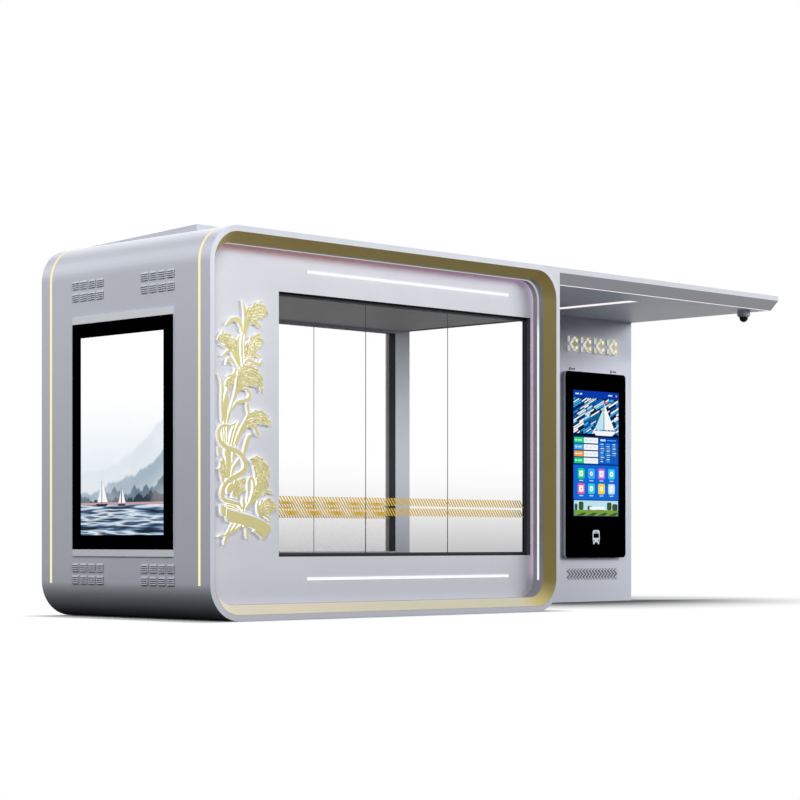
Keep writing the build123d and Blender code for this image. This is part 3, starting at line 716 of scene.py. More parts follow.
# Each leaf or stem: its line, its width and the share of the width left at its two tips.
LEAVES = [
    ([(0.455, 2.355), (0.478, 2.3), (0.488, 2.22), (0.478, 2.15), (0.46, 2.09)], 0.028, 0.0, 0.3),
    ([(0.457, 2.1), (0.452, 2.02), (0.455, 1.93), (0.462, 1.87)], 0.018, 0.6, 0.2),
    ([(0.455, 2.115), (0.445, 2.17), (0.415, 2.205), (0.37, 2.205), (0.33, 2.185), (0.295, 2.16)],
     0.032, 0.2, 0.0),
    ([(0.545, 2.185), (0.585, 2.197), (0.62, 2.18), (0.65, 2.155)], 0.024, 0.4, 0.0),
    ([(0.437, 2.1), (0.412, 2.05), (0.408, 1.97), (0.425, 1.9), (0.44, 1.85)], 0.03, 0.0, 0.2),
    ([(0.35, 1.975), (0.3, 2.0), (0.245, 2.015)], 0.012, 0.6, 0.0),
    ([(0.35, 1.985), (0.31, 1.962), (0.285, 1.942), (0.255, 1.932)], 0.02, 0.6, 0.0),
    ([(0.472, 2.04), (0.48, 1.99), (0.485, 1.93)], 0.022, 0.0, 0.7),
    ([(0.55, 1.948), (0.59, 1.962), (0.62, 1.952), (0.648, 1.942)], 0.016, 0.6, 0.0),
    ([(0.467, 1.885), (0.5, 1.91), (0.54, 1.91), (0.58, 1.894), (0.62, 1.889), (0.64, 1.908), (0.65, 1.935)],
     0.024, 0.1, 0.0),
    ([(0.385, 1.865), (0.36, 1.9), (0.33, 1.91), (0.31, 1.893), (0.3, 1.868)], 0.024, 0.2, 0.0),
    ([(0.45, 1.708), (0.5, 1.728), (0.55, 1.735), (0.602, 1.72)], 0.018, 0.5, 0.0),
    ([(0.44, 1.695), (0.49, 1.7), (0.525, 1.68), (0.53, 1.65), (0.508, 1.625), (0.46, 1.61), (0.41, 1.6),
      (0.37, 1.565), (0.345, 1.535)], 0.024, 0.2, 0.2),
    ([(0.388, 1.855), (0.388, 1.82), (0.37, 1.8), (0.335, 1.79), (0.3, 1.785)], 0.018, 0.3, 0.0),
    ([(0.4, 1.8), (0.37, 1.785), (0.33, 1.765), (0.295, 1.735)], 0.02, 0.5, 0.0),
    ([(0.222, 1.8), (0.252, 1.765), (0.265, 1.7), (0.262, 1.6), (0.265, 1.45)], 0.02, 0.0, 0.7),
    ([(0.31, 1.69), (0.3, 1.62), (0.29, 1.55), (0.288, 1.44)], 0.044, 0.1, 0.4),
    ([(0.335, 1.53), (0.32, 1.48), (0.312, 1.44)], 0.02, 0.9, 0.5),
    ([(0.5, 1.61), (0.512, 1.57), (0.518, 1.52)], 0.022, 0.0, 0.6),
    ([(0.545, 1.43), (0.58, 1.418), (0.6, 1.385), (0.628, 1.35)], 0.026, 0.4, 0.0),
    ([(0.262, 1.42), (0.268, 1.35), (0.275, 1.29)], 0.012, 0.9, 0.9),
    ([(0.285, 1.42), (0.29, 1.3)], 0.014, 0.9, 0.9),
    ([(0.31, 1.42), (0.312, 1.3)], 0.012, 0.9, 0.9),
    ([(0.39, 1.45), (0.355, 1.37), (0.33, 1.28)], 0.018, 0.3, 0.8),
    ([(0.425, 1.46), (0.385, 1.37), (0.355, 1.28)], 0.02, 0.3, 0.8),
    ([(0.32, 1.27), (0.322, 1.15), (0.315, 1.04)], 0.048, 0.8, 0.6),
    ([(0.37, 1.235), (0.364, 1.16)], 0.018, 0.8, 0.2),
    ([(0.43, 1.195), (0.4, 1.15), (0.365, 1.105), (0.352, 1.06)], 0.022, 0.1, 0.6),
    ([(0.23, 1.27), (0.235, 1.2)], 0.018, 0.6, 0.4),
    ([(0.29, 1.25), (0.292, 1.195)], 0.014, 0.7, 0.4),
    ([(0.215, 1.105), (0.24, 1.11), (0.26, 1.085), (0.268, 1.03), (0.29, 0.99)], 0.02, 0.0, 0.4),
    ([(0.558, 1.375), (0.52, 1.348), (0.495, 1.29), (0.465, 1.215)], 0.032, 0.0, 0.3),
    ([(0.562, 1.145), (0.583, 1.09), (0.588, 1.03)], 0.015, 0.1, 0.3),
    ([(0.62, 0.918), (0.67, 0.945), (0.72, 0.95), (0.768, 0.93)], 0.02, 0.8, 0.0),
    ([(0.5, 0.86), (0.515, 0.94), (0.515, 1.01), (0.535, 1.045), (0.56, 1.035), (0.572, 0.99),
      (0.56, 0.93), (0.53, 0.87), (0.5, 0.83)], 0.02, 0.3, 0.5),
    ([(0.365, 1.005), (0.335, 0.965), (0.315, 0.925)], 0.05, 0.1, 0.2),
    ([(0.425, 0.905), (0.45, 0.945), (0.497, 0.955)], 0.014, 0.5, 0.0),
    ([(0.46, 0.905), (0.47, 0.85), (0.46, 0.8)], 0.024, 0.1, 0.3),
    ([(0.61, 0.88), (0.605, 0.83), (0.61, 0.785)], 0.016, 0.1, 0.8),
    ([(0.67, 0.768), (0.705, 0.758), (0.737, 0.728)], 0.02, 0.3, 0.0),
    ([(0.3, 0.85), (0.36, 0.842), (0.43, 0.812)], 0.012, 0.8, 0.2),
    ([(0.3, 0.832), (0.36, 0.824), (0.42, 0.806)], 0.01, 0.8, 0.2),
    ([(0.56, 0.655), (0.6, 0.65), (0.64, 0.625), (0.658, 0.597)], 0.026, 0.1, 0.5),
    ([(0.36, 0.71), (0.33, 0.66), (0.3, 0.62)], 0.017, 0.8, 0.5),
    ([(0.4, 0.705), (0.355, 0.655), (0.305, 0.62)], 0.017, 0.8, 0.5),
    ([(0.45, 0.695), (0.385, 0.66), (0.315, 0.63)], 0.018, 0.8, 0.5),
    ([(0.31, 0.64), (0.298, 0.6), (0.28, 0.552)], 0.022, 0.8, 0.2),
    ([(0.215, 0.61), (0.25, 0.618), (0.3, 0.625)], 0.014, 0.0, 0.6),
    ([(0.465, 0.69), (0.497, 0.68), (0.503, 0.6)], 0.02, 0.2, 0.5),
]

RIBBON = [(0.402, 1.465), (0.375, 1.44), (0.33, 1.425), (0.27, 1.425), (0.235, 1.4), (0.225, 1.36),
          (0.24, 1.31), (0.28, 1.275), (0.34, 1.255), (0.41, 1.235), (0.455, 1.205), (0.48, 1.16),
          (0.48, 1.12), (0.45, 1.085), (0.4, 1.06), (0.34, 1.035), (0.295, 1.0), (0.265, 0.955),
          (0.26, 0.91), (0.285, 0.88), (0.35, 0.865), (0.42, 0.85), (0.45, 0.815)]
SASH = [(0.298, 0.812), (0.4, 0.795), (0.5, 0.775), (0.6, 0.75), (0.68, 0.72), (0.725, 0.695),
        (0.735, 0.675), (0.7, 0.63), (0.665, 0.6), (0.655, 0.622), (0.6, 0.655), (0.54, 0.68), (0.45, 0.7),
        (0.36, 0.715), (0.31, 0.725), (0.295, 0.75)]
SASH_END = [(0.245, 0.845), (0.293, 0.832), (0.293, 0.762), (0.262, 0.765), (0.248, 0.785)]

EAR_STEPS = 60
STEM_SHARE = 0.15       # an ear whose grains start beyond this share shows a gold stem before them
ROW_PITCH = 0.030
GRAIN_PITCH = 0.0210
GRAIN_LENGTH = 0.047
GRAIN_WIDTH = 0.0092
GRAIN_HEIGHT = 0.0042
EAR_LIFT = PLATE - 0.0050       # where the first ear's plate ends; each next one is a little prouder
LEAF_LIFT = PLATE - 0.004
GRAIN = [(-0.4, 0.0), (-0.15, 0.8), (0.15, 1.0), (0.6, 0.0), (0.15, -1.0), (-0.15, -0.8)]


def grain_outline(base, ahead, share):
    """A grain at base that points ahead, turned out from the middle of the ear."""
    run, rise = ahead[0] - base[0], ahead[1] - base[1]
    length = math.hypot(run, rise) or 1.0
    run, rise = run / length, rise / length
    turn = (0.5 - share) * 0.5 + random.uniform(-0.22, 0.22)
    run, rise = run * math.cos(turn) - rise * math.sin(turn), run * math.sin(turn) + rise * math.cos(turn)
    long = GRAIN_LENGTH * random.uniform(0.85, 1.15)
    wide = GRAIN_WIDTH * random.uniform(0.85, 1.1)
    return [(base[0] + run * a * long - rise * b * wide, base[1] + rise * a * long + run * b * wide)
            for a, b in GRAIN]


def add_grains(ears, above, below, first, lift):
    """Staggered rows of grains over the plate of an ear, from where they start to its tip."""
    length = line_length(above) * 0.5 + line_length(below) * 0.5
    rows = max(3, round(length * (1 - first) / ROW_PITCH))
    for row in range(rows):
        index = (first + (1 - first) * (row + 0.35) / rows) * (EAR_STEPS - 1)
        index = min(int(index), EAR_STEPS - 3)
        columns = max(1, round(math.dist(above[index], below[index]) / GRAIN_PITCH))
        for column in range(columns + row % 2):
            share = (column + (0.0 if row % 2 else 0.5) + random.uniform(-0.2, 0.2)) / columns
            base = between(above[index], below[index], share)
            ahead = between(above[index + 2], below[index + 2], share)
            outline = grain_outline(base, ahead, share)
            out = lift + 0.0002 * (row % 2)
            side = random.choice(("acrylic", "gold_pale", "gold_pale"))
            ears.prism(outline, out, out + GRAIN_HEIGHT, "gold", side, taper=0.15)


def make_ears():
    """Ears of wheat: a pale plate each, with rows of pointed grains that stand over its outer edge."""
    ears = Shape("wheat_ears", FRONT, "gold", "acrylic", "gold_pale")
    for number, (upper, lower, first) in enumerate(EARS):
        above, below = resample(smooth_line(upper), EAR_STEPS), resample(smooth_line(lower), EAR_STEPS)
        lift = EAR_LIFT + 0.0001 * number
        ears.prism(above + below[::-1], 0.0, lift, "gold_pale", "acrylic")
        if first > STEM_SHARE:
            stem = int(first * (EAR_STEPS - 1)) + 1
            ears.prism(above[:stem] + below[:stem][::-1], lift, lift + 0.0012)
        add_grains(ears, above, below, first, lift)
    ears.place()


def make_leaves():
    """Leaves and stems: gold plates with white sides, each a little prouder than the one before."""
    leaves = Shape("wheat_leaves", FRONT, "gold", "acrylic")
    for number, (line, width, start, end) in enumerate(LEAVES):
        lift = LEAF_LIFT + 0.00006 * number
        leaves.prism(blade(line, width, start, end), 0.0, lift, "gold", "acrylic")
    leaves.place()


def make_ribbon():
    """The ribbon round the stems, its sash and the sash's end."""
    ribbon = Shape("wheat_ribbon", FRONT, "gold", "acrylic")
    for outline, proud in ((blade(RIBBON, 0.034, 0.2, 0.5), 0.0015), (SASH, 0.003), (SASH_END, 0.002)):
        ribbon.prism(outline, 0.0, PLATE + proud, "gold", "acrylic")
    ribbon.place()


make_ears()
make_leaves()
make_ribbon()


# ---- windows: dashes on the glass, seals and trim ----
DASH_PITCH = 0.0302
DASH_LEAN = 0.045
DASH_WIDTH = DASH_PITCH * 0.56
DASH_LEAST = 0.001      # a dash that a pane's end cuts to less than this is left out
DASH_BANDS = [(0.859, 0.921), (0.780, 0.841)]
FRONT_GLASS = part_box("front_window_glass")
REAR_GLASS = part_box("rear_window_glass")
GLASS_FACE = Face((POD_LEFT, FRONT_GLASS[0].y, 0))
REAR_GLASS_FACE = Face((POD_LEFT, REAR_GLASS[0].y, 0))
GLASS_START = FRONT_GLASS[0].x - POD_LEFT
GLASS_END = FRONT_GLASS[1].x - POD_LEFT


def make_dashes(name, face):
    """Two bands of leaning dashes printed on a row of panes."""
    dashes = Shape(name, face, "dash_gold")
    for bottom, top in DASH_BANDS:
        place = GLASS_START - DASH_LEAN
        while place < GLASS_END:
            starts = (place, place + DASH_LEAN)
            head, foot = [[min(max(edge, GLASS_START), GLASS_END) for edge in (start, start + DASH_WIDTH)]
                          for start in starts]
            if min(head[1] - head[0], foot[1] - foot[0]) > DASH_LEAST:
                corners = [(head[0], top), (foot[0], bottom), (foot[1], bottom), (head[1], top)]
                dashes.prism(corners, 0.0002, 0.0005)
            place += DASH_PITCH
    dashes.place()


def make_pane_seals(name, face, box, half, deep):
    """The black seals between a window's three panes."""
    seals = Shape(name, face, "joint")
    for number in (1, 2):
        middle = GLASS_START + (GLASS_END - GLASS_START) / 3 * number
        seals.bar(middle - half, middle + half, box[0].z, box[1].z, -deep, 0.0005)
    seals.place()


def make_reveal():
    """Dark lining of the front window's opening."""
    left, right = WINDOW_LOW.x - POD_LEFT, WINDOW_HIGH.x - POD_LEFT
    bottom, top = WINDOW_LOW.z, WINDOW_HIGH.z
    width, deep = 0.001, WALL_FACE - WINDOW_LOW.y
    lining = Shape("front_window_reveal", FRONT, "reveal")
    for side in (left, right - width):
        lining.bar(side, side + width, bottom, top, deep, -0.0005)
    for side in (bottom, top - width):
        lining.bar(left, right, side, side + width, deep, -0.0005)
    lining.place()


def make_rear_trim():
    """Light trim on the room side of the rear window's frame."""
    left, right = WINDOW_LOW.x - POD_LEFT, WINDOW_HIGH.x - POD_LEFT
    bottom, top = WINDOW_LOW.z, WINDOW_HIGH.z
    trim = Shape("rear_window_trim", Face((POD_LEFT, low("rear_window_frame").y, 0)), "shell")
    for side in (left, right - FRAME_WIDTH):
        trim.bar(side, side + FRAME_WIDTH, bottom, top, 0.0002, 0.001)
    for side in (bottom, top - FRAME_WIDTH):
        trim.bar(left + FRAME_WIDTH, right - FRAME_WIDTH, side, side + FRAME_WIDTH, 0.0002, 0.001)
    trim.place()


make_dashes("front_dashes", GLASS_FACE)
make_dashes("rear_dashes", REAR_GLASS_FACE)
make_reveal()
make_rear_trim()
make_pane_seals("front_pane_seals", GLASS_FACE, FRONT_GLASS, 0.0025, 0.0025)
make_pane_seals("rear_pane_seals", REAR_GLASS_FACE, REAR_GLASS, 0.0030, 0.001)


# ---- louvres of the left end ----
LOUVRE_WIDTH, LOUVRE_HEIGHT = 0.075, 0.061
LOUVRE_PITCH, LOUVRE_RISE = 0.102, 0.092
LOUVRE_BLADES = 4
LEFT_END = Face((POD_LEFT, RIM_REAR, 0), (0, -1, 0))


def make_louvre_slots_and_painted_shade():
    """The dark openings under every hood's lip, drawn as dark bars with the shadow under the lip painted in,
    and a painted shaded strip along its open end.
    """
    slots = Shape("louvre_slots_and_painted_shade", LEFT_END, "slot_painted_shade")
    box_low, box_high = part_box("louvres")
    starts = [RIM_REAR - box_high.y + i * LOUVRE_PITCH for i in range(4)]
    starts += [RIM_REAR - box_low.y - LOUVRE_WIDTH - i * LOUVRE_PITCH for i in range(4)]
    feet = [box_low.z + i * LOUVRE_RISE for i in range(2)]
    feet += [box_high.z - LOUVRE_HEIGHT - i * LOUVRE_RISE for i in range(2)]
    for start in starts:
        end = start + LOUVRE_WIDTH
        for foot in feet:
            for number in range(LOUVRE_BLADES):
                lip = foot + number * LOUVRE_HEIGHT / LOUVRE_BLADES
                slot_height = 0.0054 if number else 0.0030
                # Painted shadow: a dark bar under each lip, standing proud of the face.
                slots.bar(start + 0.001, end - 0.004, lip - slot_height, lip, 0.0001, 0.0100)
            # Painted shade: a dark strip along the hood's open end for its shaded side.
            slots.bar(end + 0.0002, end + 0.0052, foot + 0.001, foot + LOUVRE_HEIGHT - 0.008, 0.0001, 0.0004)
    slots.place()


make_louvre_slots_and_painted_shade()


# ---- poster ----
POSTER_LOW, POSTER_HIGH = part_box("poster_sheet")
POSTER = Face((POSTER_LOW.x, POSTER_HIGH.y, POSTER_LOW.z), (0, -1, 0))


def make_poster_boats():
    """Two small sailing boats on the water of the print."""
    boats = Shape("poster_boats", POSTER, "print_white", "print_navy")
    for across, up, size in ((0.26, 0.235, 0.13), (0.50, 0.232, 0.09)):
        keel, boom = up - size * 0.16, up + size * 0.10
        boats.prism([(across - size * 0.55, up), (across - size * 0.4, keel), (across + size * 0.4, keel),
                     (across + size * 0.6, up)], 0.0002, 0.0006, "print_navy")
        boats.bar(across - 0.002, across + 0.002, up, up + size * 1.35, 0.0002, 0.0007, "print_navy")
        for luff, reach, height in ((0.006, 0.55, 1.3), (-0.006, -0.4, 1.1)):
            clew, head = (across + size * reach, boom), (across + luff, up + size * height)
            boats.prism([(across + luff, boom), clew, head], 0.0002, 0.0006)
    boats.place()


make_poster_boats()


# ---- kiosk display ----
DISPLAY_LOW, DISPLAY_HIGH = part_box("kiosk_display")
DISPLAY_WIDTH = DISPLAY_HIGH.x - DISPLAY_LOW.x
DISPLAY_HEIGHT = DISPLAY_HIGH.z - DISPLAY_LOW.z
DISPLAY_LEFT, DISPLAY_RIGHT = 0.004, DISPLAY_WIDTH - 0.004
INSET_RIGHT = DISPLAY_WIDTH - 0.012
# Where each layer of the display's print starts and ends over its face.
GROUND, SPRAY, SEA, BOAT, RIG = ((0.0002, 0.0004), (0.0004, 0.0006), (0.0006, 0.0008), (0.0008, 0.0010),
                                 (0.0008, 0.0011))
CARD, CARD_BAR, TITLE = (0.0002, 0.0006), (0.0006, 0.0009), (0.0007, 0.0010)
PANEL, PANEL_BAR = (0.0002, 0.0005), (0.0005, 0.0007)
TILE, TILE_MARK = (0.0004, 0.0007), (0.0010, 0.0012)
SPRAY_SLOPE = 0.45
SPRAY_TONES = ["ui_ice", "ui_sky", "ui_white", "ui_deep", "ui_panel", "ui_white", "ui_sky", "ui_teal"]
MENU_FOOT = 0.507
PANEL_LEFT = 0.376


def draw_header(screen):
    head = DISPLAY_HEIGHT
    screen.bar(DISPLAY_LEFT, DISPLAY_RIGHT, head - 0.062, head - 0.004, *CARD, "ui_header")
    for left, right in ((0.03, 0.085), (0.10, 0.13), (0.52, 0.58)):
        screen.bar(left, right, head - 0.040, head - 0.026, *TITLE, "ui_ice")
    screen.prism(rounded(0.632, 0.652, head - 0.044, head - 0.024, 0.009), *TITLE, "ui_orange")


def draw_spray(screen, bottom, top):
    """Slanting dashes of spray in lanes from the foot of the picture to its head."""
    lane = bottom - SPRAY_SLOPE * (DISPLAY_RIGHT - DISPLAY_LEFT)
    while lane < top:
        thickness = random.uniform(0.008, 0.020)
        start = max(DISPLAY_LEFT, DISPLAY_LEFT + (bottom - lane) / SPRAY_SLOPE)
        end = min(DISPLAY_RIGHT, DISPLAY_LEFT + (top - thickness - lane) / SPRAY_SLOPE)
        while start < end - 0.01:
            stop = min(end, start + random.uniform(0.04, 0.16))
            first, last = [lane + SPRAY_SLOPE * (edge - DISPLAY_LEFT) for edge in (start, stop)]
            corners = [(start, first), (stop, last), (stop, last + thickness), (start, first + thickness)]
            screen.prism(corners, *SPRAY, random.choice(SPRAY_TONES))
            start = stop + random.uniform(0.0, 0.03)
        lane += thickness + random.uniform(0.0, 0.008)


def draw_sailing(screen):
    """The picture: a white sailing boat in slanting spray."""
    bottom, top = DISPLAY_HEIGHT - 0.440, DISPLAY_HEIGHT - 0.066
    screen.bar(DISPLAY_LEFT, DISPLAY_RIGHT, bottom, top, *GROUND, "ui_navy")
    draw_spray(screen, bottom, top)
    screen.bar(DISPLAY_LEFT, DISPLAY_RIGHT, bottom, bottom + 0.030, *SEA, "ui_deep")
    deck, keel, boom = bottom + 0.060, bottom + 0.015, bottom + 0.072
    screen.prism([(0.285, deck), (0.335, keel), (0.575, keel), (0.640, deck)], *BOAT, "ui_white")
    screen.prism([(0.462, boom), (0.615, boom), (0.462, deck + 0.262)], *BOAT, "ui_white")
    screen.prism([(0.448, boom), (0.448, deck + 0.225), (0.315, boom)], *BOAT, "ui_ice")
    screen.bar(0.451, 0.459, deck, deck + 0.290, *RIG, "ui_grey")
    screen.prism([(0.459, deck + 0.262), (0.520, deck + 0.276), (0.459, deck + 0.290)], *RIG, "ui_red")


def draw_routes(screen):
    """Four route rows: a coloured tag and a white card in each, with short bars for words."""
    for row, tone in enumerate(("ui_green", "ui_orange", "ui_sky", "ui_green")):
        bottom = MENU_FOOT + row * 0.065
        screen.bar(0.014, 0.150, bottom, bottom + 0.053, *CARD, tone)
        screen.bar(0.156, 0.366, bottom, bottom + 0.053, *CARD, "ui_white")
        screen.bar(0.030, 0.052, bottom + 0.020, bottom + 0.034, *CARD_BAR, "ui_white")
        screen.bar(0.066, 0.125, bottom + 0.020, bottom + 0.034, *CARD_BAR, "ui_ice")
        for start in (0.178, 0.238, 0.300):
            screen.bar(start, start + 0.036, bottom + 0.022, bottom + 0.032, *CARD_BAR, "ui_ice")


def draw_panel(screen):
    """The panel beside the routes: a title over three columns of dots and bars."""
    foot = MENU_FOOT
    screen.bar(PANEL_LEFT, INSET_RIGHT, foot, foot + 0.248, *PANEL, "ui_panel")
    screen.bar(PANEL_LEFT, INSET_RIGHT, foot + 0.208, foot + 0.248, *PANEL_BAR, "ui_header")
    screen.bar(0.400, 0.480, foot + 0.218, foot + 0.238, *TITLE, "ui_ice")
    screen.bar(0.500, 0.640, foot + 0.222, foot + 0.234, *TITLE, "ui_sky")
    for column, lines in enumerate((9, 9, 6)):
        start = 0.405 + column * 0.090
        for line in range(lines):
            bottom = foot + 0.186 - line * 0.021
            tone = ("ui_ice", "ui_sky", "ui_ice", "ui_grey")[(line + column) % 4]
            stop = start + random.uniform(0.035, 0.055)
            screen.bar(start, stop, bottom - 0.001, bottom + 0.009, *PANEL_BAR, tone)
            dot = rounded(start - 0.016, start - 0.008, bottom - 0.001, bottom + 0.007, 0.0035, 2)
            screen.prism(dot, *PANEL_BAR, "ui_cyan")


def draw_tiles(screen):
    """Eight icon tiles, each a coloured square with a white mark and a short bar under it."""
    screen.bar(DISPLAY_LEFT, DISPLAY_RIGHT, 0.160, 0.490, *GROUND, "ui_blue")
    tones = [["ui_pink", "ui_cyan", "ui_yellow", "ui_ice"], ["ui_green", "ui_sky", "ui_violet", "ui_cyan"]]
    side = 0.100
    for row in range(2):
        for column in range(4):
            left, bottom = 0.066 + column * 0.151, 0.214 + row * 0.145
            tone = tones[row][column]
            screen.prism(rounded(left, left + side, bottom, bottom + side, 0.018), *TILE, tone)
            inset = 0.018 + 0.005 * ((row + column) % 3)
            mark = rounded(left + inset, left + side - inset, bottom + inset, bottom + side - inset,
                           0.008 + 0.015 * (column % 2))
            screen.prism(mark, *TITLE, "ui_white")
            screen.bar(left + 0.040, left + 0.060, bottom + 0.045, bottom + 0.055, *TILE_MARK, tone)
            screen.bar(left + 0.022, left + 0.078, bottom - 0.022, bottom - 0.013, *TILE, "ui_ice")


def draw_landscape(screen):
    """A strip of grass with trees, a low white building and slanting beds."""
    screen.bar(0.012, INSET_RIGHT, 0.004, 0.060, *GROUND, "ui_grass")
    screen.bar(0.012, INSET_RIGHT, 0.060, 0.150, *GROUND, "ui_ice")
    for box in ((0.02, 0.06, 0.055, 0.12), (0.08, 0.15, 0.06, 0.14), (0.5, 0.57, 0.06, 0.135),
                (0.58, 0.66, 0.055, 0.12), (0.21, 0.28, 0.058, 0.10), (0.33, 0.46, 0.058, 0.085)):
        screen.prism(rounded(*box, 0.018), *SPRAY, "ui_leaf")
    screen.bar(0.24, 0.47, 0.062, 0.092, *SEA, "ui_white")
    for number in range(4):
        start = 0.04 + number * 0.16
        screen.prism([(start, 0.006), (start + 0.10, 0.006), (start + 0.16, 0.034), (start + 0.10, 0.034)],
                     *SPRAY, "ui_leaf")


def make_display():
    """A plain menu screen in bright colours, with no words."""
    screen = Shape("display_menu", Face(DISPLAY_LOW), *("ui_" + tone for tone in MENU_TONES))
    draw_header(screen)
    draw_sailing(screen)
    draw_routes(screen)
    draw_panel(screen)
    draw_tiles(screen)
    draw_landscape(screen)
    screen.place()


make_display()


# ---- the kiosk's bus pictogram, labels, sign and grille ----
GLASS_LOW, GLASS_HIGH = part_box("kiosk_screen_glass")


def make_pictogram():
    """The front of a bus, printed under the display."""
    bus = Shape("bus_pictogram", Face(GLASS_LOW), "pictogram", "black")
    middle, foot = (GLASS_HIGH.x - GLASS_LOW.x) / 2, 0.130
    white, black = (0.0002, 0.0004, "pictogram"), (0.0004, 0.0006, "black")
    bus.prism(rounded(middle - 0.052, middle + 0.052, foot + 0.018, foot + 0.136, 0.024), *white)
    for side in (-1, 1):
        wheel = sorted((middle + side * 0.024, middle + side * 0.044))
        bus.bar(*wheel, foot, foot + 0.022, *white)
        lamp = middle + side * 0.034
        bus.prism(rounded(lamp - 0.008, lamp + 0.008, foot + 0.030, foot + 0.044, 0.006), *black)
    bus.prism(rounded(middle - 0.040, middle + 0.040, foot + 0.060, foot + 0.104, 0.006), *black)
    bus.bar(middle - 0.024, middle + 0.024, foot + 0.112, foot + 0.120, *black)
    bus.place()


def make_labels():
    """Two small labels over the screen, each a bare square and a bare strip."""
    labels = Shape("kiosk_labels", Face((KIOSK_LOW.x, KIOSK_FACE, GLASS_HIGH.z)), "label")
    for start in (0.252, 0.866):
        labels.bar(start, start + 0.022, 0.012, 0.040, 0.0, 0.0008)
        labels.bar(start + 0.032, start + 0.090, 0.020, 0.034, 0.0, 0.0008)
    labels.place()


# One corner fret as shares of its size: its bars (left, right, bottom, top), and the lozenge that they ring.
FRET_BARS = [(0.0, 0.38, 0.0, 0.14), (0.62, 1.0, 0.0, 0.14), (0.0, 0.38, 0.86, 1.0),
             (0.62, 1.0, 0.86, 1.0), (0.0, 0.15, 0.14, 0.36), (0.0, 0.15, 0.64, 0.86),
             (0.85, 1.0, 0.14, 0.36), (0.85, 1.0, 0.64, 0.86)]
LOZENGE = [(0.5, 0.20), (0.80, 0.5), (0.5, 0.80), (0.20, 0.5)]


def make_sign():
    """Four plain corner frets, each round a lozenge, stand for the sign: gold faces on white sides."""
    sign_low, sign_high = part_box("kiosk_sign")
    sign = Shape("sign_fretwork", Face((sign_low.x, KIOSK_FACE, sign_low.z)), "gold", "acrylic")
    size = sign_high.z - sign_low.z
    pitch = (sign_high.x - sign_low.x - size) / 3
    depth = KIOSK_FACE - sign_low.y
    for number in range(4):
        left = number * pitch
        for edges in FRET_BARS:
            start, end, foot, head = (edge * size for edge in edges)
            sign.bar(left + start, left + end, foot, head, 0.0, depth, "gold", "acrylic")
        lozenge = [(left + across * size, up * size) for across, up in LOZENGE]
        sign.prism(lozenge, 0.0, depth, "gold", "acrylic")
    thing = sign.place()
    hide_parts("kiosk_sign")


def make_grille():
    """A painted plate with a row of upright zigzag slots, pointed at both ends."""
    grille_low, grille_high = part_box("kiosk_grille")
    width, height = grille_high.x - grille_low.x, grille_high.z - grille_low.z
    grille = Shape("grille_zigzags", Face((grille_low.x, KIOSK_FACE, grille_low.z)), "grille", "shell")
    grille.bar(0.0, width, 0.0, height, KIOSK_FACE - grille_high.y, -0.0004, "shell")
    columns, rows = 16, 4
    step, rise = width / (columns + 0.6), height / rows
    stroke = step * 0.28
    point = stroke * 0.1
    for column in range(columns):
        middle = (column + 0.8) * step
        for row in range(rows):
            swing = (step if row % 2 else -step) * 0.9 / 2
            at_foot = point if row == 0 else stroke
            at_head = point if row == rows - 1 else stroke
            bottom, top = row * rise, (row + 1) * rise
            corners = [(middle - swing - at_foot, bottom), (middle - swing + at_foot, bottom),
                       (middle + swing + at_head, top), (middle + swing - at_head, top)]
            grille.prism(corners, -0.0004, -0.0001)
    thing = grille.place()
    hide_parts("kiosk_grille")


make_pictogram()
make_labels()
make_sign()
make_grille()


# ---- stage: floor, world, lights and camera ----
FLOOR_REACH = 300.0
FLOOR_LEVEL = -0.002
FLOOR_CORNERS = [(-1, -1), (1, -1), (1, 1), (-1, 1)]
CAMERA_PLACE = (-13.784, -13.265, 0.577)
CAMERA_LENS = 100.44
CAMERA_SHIFT = 0.1771


def background_share(tree):
    """1 where a ray from the camera, or one that a gloss or glass sends on, looks at the background."""
    path = add(tree, "LightPath").outputs
    seen = maths(tree, "MAXIMUM", path["Is Camera Ray"], path["Is Glossy Ray"])
    return maths(tree, "MAXIMUM", seen, path["Is Transmission Ray"])


def make_world():
    """A white background that lights the shelter only faintly."""
    world = bpy.data.worlds.new("studio")
    bpy.context.scene.world = world
    world.use_nodes = True
    tree = world.node_tree
    ambient = tree.nodes["Background"]
    feed(tree, ambient, {"Color": (0.97, 0.98, 1.0, 1), "Strength": 0.14})
    white = add(tree, "Background", {"Color": WHITE, "Strength": 1.0})
    blend = add(tree, "MixShader",
                {0: background_share(tree), 1: ambient.outputs[0], 2: white.outputs[0]})
    feed(tree, tree.nodes["World Output"], {0: blend.outputs[0]})


def distance_outside(tree, place, first, last):
    """How far a point of the ground lies outside the footprint of a box, given by two of its corners."""
    middle = [(first[axis] + last[axis]) / 2 for axis in (0, 1)]
    half = [(last[axis] - first[axis]) / 2 for axis in (0, 1)]
    return distance_past(tree, past_edges(tree, place, (*middle, 0), (*half, 1)))


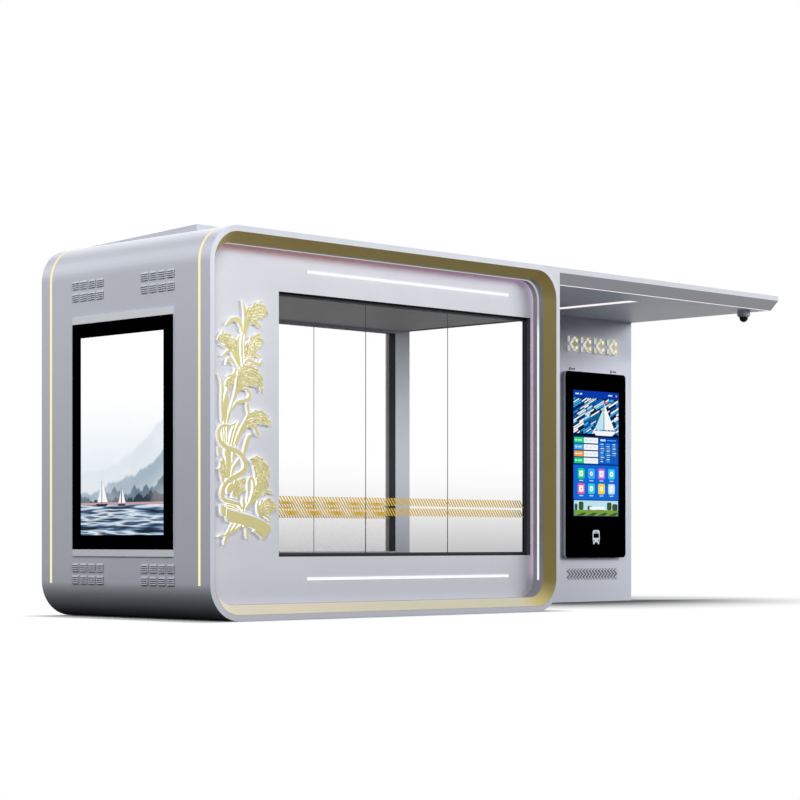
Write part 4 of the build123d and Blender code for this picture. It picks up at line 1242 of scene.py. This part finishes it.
def floor_material():
    """White that glows away from the shelter, and near it a grey that takes its shadow, darkened further by
    a painted shadow near the kiosk that reaches forward from its face.
    """
    material, tree, shader, place = start_material("floor_pale")
    pod = distance_outside(tree, place, CAD_BOX[0], (POD_RIGHT, CAD_BOX[1][1]))
    kiosk = distance_outside(tree, place, KIOSK_LOW, KIOSK_HIGH)
    beyond = maths(tree, "POWER", even(tree, kiosk, 0.0, 2.2), 1.5)
    shine = product(tree, span(tree, pod, 0.0, 0.2, 0.05, 1.0), beyond)
    # Painted shadow: the grey near the kiosk is darkened, more in front of its face than behind it.
    behind = even(tree, split(tree, place)[1], KIOSK_FACE - 0.2, KIOSK_FACE + 0.3, 1.0, 4.0)
    painted_contact_shadow = product(tree, span(tree, kiosk, 0.0, 2.0, 0.12, 0.95), behind)
    painted_contact_shadow = maths(tree, "MINIMUM", painted_contact_shadow, 0.95)
    level = product(tree, painted_contact_shadow, maths(tree, "SUBTRACT", 1.0, shine))
    near = add(tree, "CombineXYZ", {0: level, 1: level, 2: level}).outputs[0]
    seen = background_share(tree)
    colour = mix(tree, seen, (0.03, 0.03, 0.032, 1), near)
    feed(tree, shader, {"Base Color": colour, "Roughness": 1.0, "Specular IOR Level": 0.0})
    glow(material, WHITE, product(tree, shine, seen))
    return material


def make_floor():
    """The ground under the shelter, just below its foot."""
    mesh = bpy.data.meshes.new("floor")
    mesh.from_pydata([(x * FLOOR_REACH, y * FLOOR_REACH, FLOOR_LEVEL) for x, y in FLOOR_CORNERS], [],
                     [(0, 1, 2, 3)])
    mesh.materials.append(floor_material())
    floor = new_object("floor", mesh)


def aim(thing, direction):
    thing.rotation_euler = Vector(direction).to_track_quat("-Z", "Y").to_euler()


def sun(name, towards, strength, spread):
    lamp = bpy.data.lights.new(name, "SUN")
    lamp.energy, lamp.angle = strength, math.radians(spread)
    aim(new_object(name, lamp), [-part for part in towards])


def softbox(name, place, target, size, power):
    lamp = bpy.data.lights.new(name, "AREA")
    lamp.shape, lamp.energy = "RECTANGLE", power
    lamp.size, lamp.size_y = size
    thing = new_object(name, lamp)
    thing.location = place
    aim(thing, Vector(target) - Vector(place))


def make_lights():
    """A low broad key from the front right, softboxes round the front, faint suns above and behind."""
    sun("key", (0.75, -0.62, 0.24), 1.02, 24)
    softbox("front_left", (-8.0, -7.0, 5.5), (-1.5, -1.0, 1.5), (3.0, 3.0), 340)
    softbox("front_right", (6.0, -8.0, 5.0), (0.5, -1.0, 1.6), (4.0, 3.0), 225)
    softbox("left", (-8.5, 2.5, 4.2), (-3.4, 0.0, 1.8), (3.0, 2.0), 105)
    softbox("kiosk", (8.0, -4.5, 5.9), (2.8, 0.7, 1.8), (2.0, 2.0), 64)
    sun("above", (-0.05, 0.05, 1.0), 0.3, 60)
    sun("back", (0.3, 0.8, 0.5), 0.3, 60)


def make_camera():
    camera = bpy.data.cameras.new("camera")
    camera.sensor_width = 36.0
    camera.lens, camera.shift_y, camera.clip_end = CAMERA_LENS, CAMERA_SHIFT, 1000.0
    thing = new_object("camera", camera)
    thing.location = CAMERA_PLACE
    thing.rotation_euler = (math.radians(90), 0, math.radians(-45))
    bpy.context.scene.camera = thing


make_world()
make_floor()
make_lights()
make_camera()
bpy.context.scene.view_settings.view_transform = "Standard"
